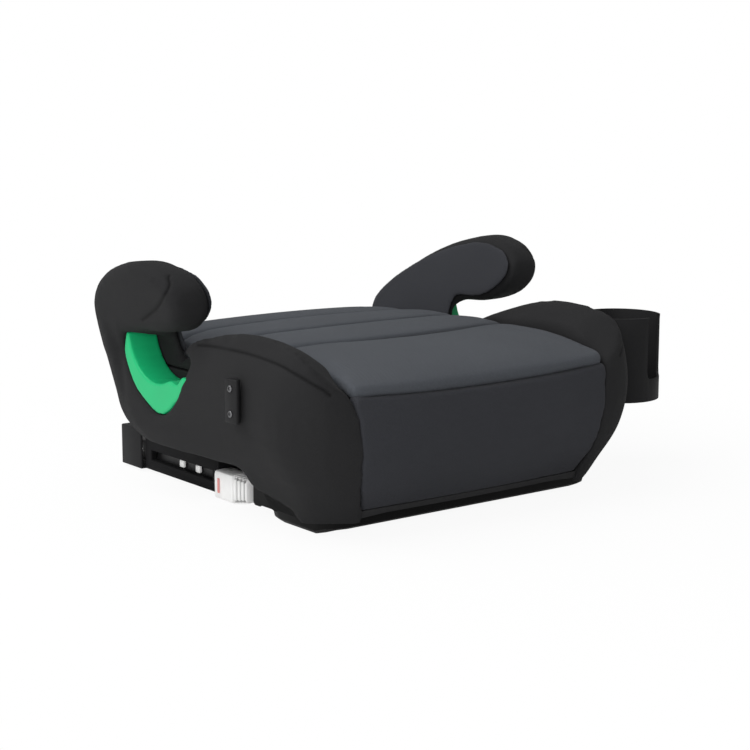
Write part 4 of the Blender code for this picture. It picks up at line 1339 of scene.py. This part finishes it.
@dataclass
class BracketScrews:
    """The dome-headed screws of the two brackets, with a star drive."""

    finishes: Finishes
    radius: float = 0.0033
    dome: float = 0.0010
    sides: int = 20
    lobes: int = 6
    lobe_depth: float = 0.16
    drive: float = 0.6
    profile: tuple[tuple[float, float], ...] = (
        (1.0, 0.0), (1.0, 0.35), (0.9, 0.75), (0.72, 1.0), (0.55, 1.0), (0.50, 0.15), (0.0, 0.15))
    sharp: float = math.radians(40)

    def head(self) -> bpy.types.Object:
        """Makes one screw head, standing on +Z.

        Returns:
            The head, which is not part of the scene.
        """
        work = bmesh.new()
        rings = []
        for share, height in self.profile:
            ring = []
            for i in range(self.sides):
                turn = 2 * math.pi * i / self.sides
                lobed = 1 - self.lobe_depth * math.cos(self.lobes * turn)
                reach = self.radius * share * (lobed if 0 < share < self.drive else 1.0)
                spot = (reach * math.cos(turn), reach * math.sin(turn), self.dome * height)
                ring.append(work.verts.new(spot))
            rings.append(ring)
        for lower, upper in zip(rings, rings[1:]):
            for i in range(self.sides):
                j = (i + 1) % self.sides
                work.faces.new((lower[i], lower[j], upper[j], upper[i]))
        work.faces.new(list(reversed(rings[0])))
        bmesh.ops.remove_doubles(work, verts=work.verts, dist=1e-7)
        mesh = bpy.data.meshes.new("screw_head")
        work.to_mesh(mesh)
        work.free()
        return bpy.data.objects.new("screw_head", mesh)

    def tree(self) -> RowTree:
        """Makes the node tree that sets a head on each point, turned to the point's side.

        Returns:
            The tree.
        """
        row = RowTree("screw_row", {"Places": "Geometry", "Head": "Object", "Finish": "Material"})
        shape = row.add("GeometryNodeObjectInfo")
        outward = row.add("GeometryNodeInputNamedAttribute", data_type="FLOAT_VECTOR")
        outward.inputs["Name"].default_value = "outward"
        row.join(row.given["Head"], shape.inputs[0])
        row.join(row.given["Places"], row.laid.inputs["Points"])
        row.join(shape.outputs["Geometry"], row.laid.inputs["Instance"])
        row.join(outward.outputs["Attribute"], row.turn.inputs["Vector"])
        return row

    def build(self) -> None:
        """Sets a screw where each of the frame's plain heads is."""
        nodes = [f"bracket_screw_{side.label}_{place}" for side in Side for place in ("upper", "lower")]
        points, ways = [], []
        for node in nodes:
            low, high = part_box(node)
            way = 1.0 if low.x > 0 else -1.0
            points.append((min(abs(low.x), abs(high.x)) * way, (low.y + high.y) / 2, (low.z + high.z) / 2))
            ways += [way, 0.0, 0.0]
        mesh = bpy.data.meshes.new("bracket_screws")
        mesh.from_pydata(points, [], [])
        mesh.attributes.new("outward", "FLOAT_VECTOR", "POINT").data.foreach_set("vector", ways)
        piece = new_piece("bracket_screws", mesh)
        head = self.head()
        self.tree().lay(piece, {"Head": head, "Finish": self.finishes.made[Slot.STEEL]})
        piece.data.set_sharp_from_angle(angle=self.sharp)
        bpy.data.objects.remove(head)
        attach(piece, SEAT)
        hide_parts(*nodes)
        LOG.info("bracket_screws: %d screws", len(nodes))


@dataclass
class HemBand:
    """The black band under the front panel, hanging over the tray between the side covers."""

    finishes: Finishes
    half: float = 0.150
    top: float = 0.0246
    front_top: float = 0.1908
    front_low: float = 0.1885
    crown: float = 0.0040
    foot_middle: float = 0.0188
    foot_end: float = 0.0165
    turn: float = 0.050
    thick: float = 0.0016
    steps: int = 96
    levels: tuple[float, ...] = (0.0, 0.15, 0.4, 0.7, 0.9, 1.0)

    def build(self) -> None:
        """Makes the band."""
        work = bmesh.new()
        rows = []
        for level in self.levels:
            row = []
            for i in range(self.steps + 1):
                x = self.half * (2 * i / self.steps - 1)
                share = min(1.0, (self.half - abs(x)) / self.turn)
                foot = self.foot_end + (self.foot_middle - self.foot_end) * share * share * (3 - 2 * share)
                front = self.front_low + (self.front_top - self.front_low) * level
                front += self.crown * (1 - (x / self.half) ** 2)
                row.append(work.verts.new((x, -front, foot + (self.top - foot) * level)))
            rows.append(row)
        for lower, upper in zip(rows, rows[1:]):
            for i in range(self.steps):
                work.faces.new((lower[i], lower[i + 1], upper[i + 1], upper[i]))
        piece = piece_of(work, "hem_band")
        modify(piece, "SOLIDIFY", thickness=self.thick, offset=0)
        modify(piece, "SUBSURF", levels=1, render_levels=1)
        bake(piece)
        piece.data.shade_smooth()
        self.finishes.dress(piece, Slot.BLACK_FABRIC, finish=self.finishes.hem)


@dataclass
class RailSlit:
    """The narrow slit at the rear of an anchor rail, drawn as a dark inlay: painted shade where the opening
    is.
    """

    finishes: Finishes
    side: Side
    place: tuple[float, float, float] = (0.1604, 0.157, 0.0445)
    size: tuple[float, float, float] = (0.0006, 0.0014, 0.0085)

    def build(self) -> None:
        """Makes the inlay of painted shade."""
        work = bmesh.new()
        bmesh.ops.create_cube(work, size=1.0)
        for vert in work.verts:
            x, y, z = [middle + share * size for middle, share, size in zip(self.place, vert.co, self.size)]
            vert.co = (self.side.value * x, y, z)
        bmesh.ops.recalc_face_normals(work, faces=work.faces)
        # A thin gloss black box on the rail's face stands for the shade inside the slit.
        self.finishes.dress(piece_of(work, "rail_slit_" + self.side.label), Slot.GLOSS_BLACK)


@dataclass
class BayLining:
    """The black wall under the side cover that closes the front of a release handle's bay."""

    finishes: Finishes
    side: Side
    outline: tuple[tuple[float, float], ...] = (
        (-0.055, 0.0460), (-0.055, 0.0105), (-0.058, 0.0085), (-0.066, 0.0085), (-0.069, 0.0100),
        (-0.106, 0.0100), (-0.113, 0.0300), (-0.113, 0.0460))
    walls: tuple[float, float] = (0.1655, 0.1680)
    edge: float = 0.0006

    def build(self) -> None:
        """Makes the wall."""
        work = bmesh.new()
        inner, outer = [[work.verts.new((self.side.value * x, y, z)) for y, z in self.outline]
                        for x in self.walls]
        work.faces.new(inner)
        work.faces.new(outer)
        for i, start in enumerate(inner):
            j = (i + 1) % len(self.outline)
            work.faces.new((start, inner[j], outer[j], outer[i]))
        bmesh.ops.recalc_face_normals(work, faces=work.faces)
        piece = piece_of(work, "bay_lining_" + self.side.label)
        modify(piece, "BEVEL", width=self.edge, segments=2)
        bake(piece)
        self.finishes.dress(piece, Slot.GLOSS_BLACK)


@dataclass
class ReturnSpring:
    """The spring inside a release handle, pressed to its bolt's head when the handle is pulled."""

    finishes: Finishes
    side: Side
    travel: float = 0.010

    def build(self) -> None:
        """Makes the spring as a smooth copy of its node, set on the seat."""
        label = self.side.label
        node = "handle_spring_" + label
        piece = merged_copy((node,), "return_spring_" + label)
        piece.data.shade_smooth()
        self.finishes.dress(piece, Slot.STEEL)
        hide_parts(node)
        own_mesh(piece)


@dataclass
class ReleaseHandle:
    """The white handle, its grooves deepened and its nose drawn in."""

    finishes: Finishes
    side: Side
    edge: float = 0.0003
    rib_rear: float = -0.0175
    rib_front: float = -0.0345
    rib_count: int = 4
    rib_taper: float = 0.12
    rib_reach: float = 0.93
    rib_sink: float = 0.90
    nose_width: float = 0.42
    nose_height: float = 0.08

    def build(self) -> None:
        """Makes the handle, with its grooves marked for their shade."""
        node = "release_handle_" + self.side.label
        grip = Moulding(self.finishes, node, "release_grip_" + self.side.label, Slot.WHITE_PLASTIC,
                        node, self.edge).build()
        points = points_of(grip.data)
        low, high = points.min(axis=0), points.max(axis=0)
        middle, half = (low + high) / 2, (high - low) / 2
        along = np.clip((self.rib_rear - points[:, Y]) / (self.rib_rear - low[Y]), 0, 1)
        size = 1 - self.rib_taper * np.ceil(along * self.rib_count) / self.rib_count
        reach = np.max(np.abs(points - middle)[:, ::2] / half[::2], axis=1) / size
        inside = (points[:, Y] < self.rib_rear) & (points[:, Y] > self.rib_front) & (reach < self.rib_reach)
        points[inside, ::2] = middle[::2] + (points[inside, ::2] - middle[::2]) * self.rib_sink
        for axis, narrow in ((X, self.nose_width), (Z, self.nose_height)):
            points[:, axis] = middle[axis] + (points[:, axis] - middle[axis]) * (1 - narrow * along)
        set_points(grip.data, points)
        # Painted shade in the sunk grooves.
        mark_creases(grip, inside)


@dataclass
class Hardware:
    """Rails, housings, arms, handles and other rigid pieces under and beside the seat."""

    finishes: Finishes
    toe_part: Ramp = Ramp(Y, -0.160, -0.016)
    toe_height: float = 0.014
    toe_rise: float = 0.0055

    def tray(self) -> None:
        """Makes the tray, its front toe raised off the floor."""
        tray = Moulding(self.finishes, "base_tray", "tray_shell", Slot.GLOSS_BLACK, edge=0.0012).build()
        points = points_of(tray.data)
        toe = self.toe_part(points) * eased(1 - points[:, Z] / self.toe_height)
        points[:, Z] += self.toe_rise * toe
        set_points(tray.data, points)

    def build(self) -> None:
        """Makes the rigid pieces."""
        made = self.finishes
        self.tray()
        Moulding(made, "cup_holder", "cup_holder_shell", Slot.BLACK_PLASTIC, "cup_holder", 0.0009).build()
        made.coat_node("base_shell", Slot.CORE_FOAM)
        for side in Side:
            label = side.label
            for kind in (BeltGuide, RailSlit, BayLining):
                kind(made, side).build()
            # The anchor rails take the darker rail finish, painted shade for their recess.
            for node, name, edge, finish in (("cup_bracket_", "side_bracket_", 0.0006, None),
                                             ("isofix_rail_", "anchor_rail_", 0.0010, made.rail),
                                             ("isofix_end_housing_", "anchor_housing_", 0.0012, None)):
                Moulding(made, node + label, name + label, Slot.BLACK_PLASTIC, edge=edge,
                         finish=finish).build()
            ReleaseHandle(made, side).build()
            for place in ("front", "rear"):
                Moulding(made, f"position_peg_{label}_{place}", f"white_peg_{label}_{place}",
                         Slot.WHITE_PLASTIC, "isofix_arm_" + label, 0.0012, 3).build()
            ReturnSpring(made, side).build()
            for node, slot, finish in (("indicator_", Slot.RED_PLASTIC, None),
                                       ("isofix_arm_", Slot.BLACK_STEEL, None),
                                       ("jaw_pin_", Slot.STEEL, None), ("guide_bolt_", Slot.STEEL, None),
                                       ("jaw_hook_", Slot.STEEL, made.hook)):
                made.coat_node(node + label, slot, finish)
        BracketScrews(made).build()


@dataclass
class Studio:
    """Pale floor, soft lights and the camera at the photograph's angle."""

    azimuth: float = -37.5
    elevation: float = 9.8
    distance: float = 1.876
    target: tuple[float, float, float] = (0.0280, 0.0026, 0.1100)
    lens: float = 84.0
    sensor: float = 36.0
    ambient: float = 0.43
    floor_size: float = 8.0
    floor_grey: float = 0.86
    floor_white: tuple[float, float, float, float] = (0.30, 0.75, 0.93, 1.0)

    def floor(self) -> None:
        """Makes the floor: white to the camera far out, with the seat's shadow near it."""
        tree = ShaderTree("pale_floor")
        tree.shader.inputs["Base Color"].default_value = (*[self.floor_grey] * 3, 1)
        tree.shader.inputs["Roughness"].default_value = 0.9
        path = tree.add("ShaderNodeLightPath")
        seen = tree.math("MAXIMUM", path.outputs["Is Camera Ray"], path.outputs["Is Transmission Ray"])
        place = tree.add("ShaderNodeTexCoord")
        away = tree.add("ShaderNodeVectorMath", operation="LENGTH")
        tree.feed(away.inputs[0], place.outputs["Object"])
        white = tree.remap(away.outputs["Value"], *self.floor_white, smooth=True)
        glow = tree.add("ShaderNodeEmission")
        glow.inputs["Color"].default_value = (1, 1, 1, 1)
        glow.inputs["Strength"].default_value = 1.0
        blend = tree.add("ShaderNodeMixShader")
        tree.feed(blend.inputs[0], tree.math("MULTIPLY", seen, white))
        tree.feed(blend.inputs[1], tree.shader.outputs[0])
        tree.feed(blend.inputs[2], glow.outputs[0])
        tree.feed(tree.tree.nodes["Material Output"].inputs["Surface"], blend.outputs[0])
        reach = self.floor_size / 2
        mesh = bpy.data.meshes.new("floor")
        mesh.from_pydata([(-reach, -reach, 0), (reach, -reach, 0), (reach, reach, 0), (-reach, reach, 0)],
                         [], [(0, 1, 2, 3)])
        mesh.materials.append(tree.material)
        new_piece("floor", mesh)

    def world(self) -> None:
        """Makes the even light of the room, white where the camera looks past the floor."""
        world = bpy.data.worlds.new("studio_room")
        bpy.context.scene.world = world
        world.use_nodes = True
        nodes, join = world.node_tree.nodes, world.node_tree.links.new
        back = nodes["Background"]
        back.inputs["Color"].default_value = (1, 1, 1, 1)
        path = nodes.new("ShaderNodeLightPath")
        seen = nodes.new("ShaderNodeMath")
        seen.operation = "MAXIMUM"
        join(path.outputs["Is Camera Ray"], seen.inputs[0])
        join(path.outputs["Is Transmission Ray"], seen.inputs[1])
        level = nodes.new("ShaderNodeMapRange")
        level.inputs["To Min"].default_value = self.ambient
        level.inputs["To Max"].default_value = 1.0
        join(seen.outputs[0], level.inputs["Value"])
        join(level.outputs[0], back.inputs["Strength"])

    def lamp(self, name: str, place: tuple[float, float, float], size: float, power: float) -> None:
        """Makes a soft lamp that looks at the seat.

        Args:
            name: Name of the lamp.
            place: Where it stands.
            size: Width of its face.
            power: Its power in watts.
        """
        data = bpy.data.lights.new(name, "AREA")
        data.size = size
        data.energy = power
        lamp = bpy.data.objects.new(name, data)
        lamp.location = place
        lamp.rotation_euler = (Vector(self.target) - Vector(place)).to_track_quat("-Z", "Y").to_euler()
        bpy.context.scene.collection.objects.link(lamp)

    def camera(self) -> None:
        """Makes the camera."""
        turn, rise = math.radians(self.azimuth), math.radians(self.elevation)
        back = Vector((math.sin(turn) * math.cos(rise), -math.cos(turn) * math.cos(rise), math.sin(rise)))
        data = bpy.data.cameras.new("camera")
        data.lens = self.lens
        data.sensor_width = self.sensor
        camera = bpy.data.objects.new("camera", data)
        camera.location = Vector(self.target) + back * self.distance
        camera.rotation_euler = (-back).to_track_quat("-Z", "Y").to_euler()
        bpy.context.scene.collection.objects.link(camera)
        bpy.context.scene.camera = camera

    def build(self) -> None:
        """Makes the stage, the lights and the camera."""
        bpy.context.scene.view_settings.view_transform = "Standard"
        self.floor()
        self.world()
        self.lamp("overhead", (-1.1, 0.5, 2.0), 2.0, 46.0)
        self.lamp("side", (-1.9, -1.6, 0.65), 1.4, 26.0)
        self.camera()


def main() -> None:
    """Builds the seat's pieces in order, then the studio."""
    logging.basicConfig(level=logging.INFO, format="%(name)s: %(message)s")
    finishes = Finishes()
    shop = Upholstery(finishes)
    SeatCushion(shop).build()
    for side in Side:
        SideCover(shop, side).build()
    HemBand(finishes).build()
    Hardware(finishes).build()
    Studio().build()


if __name__ == "__main__":
    main()
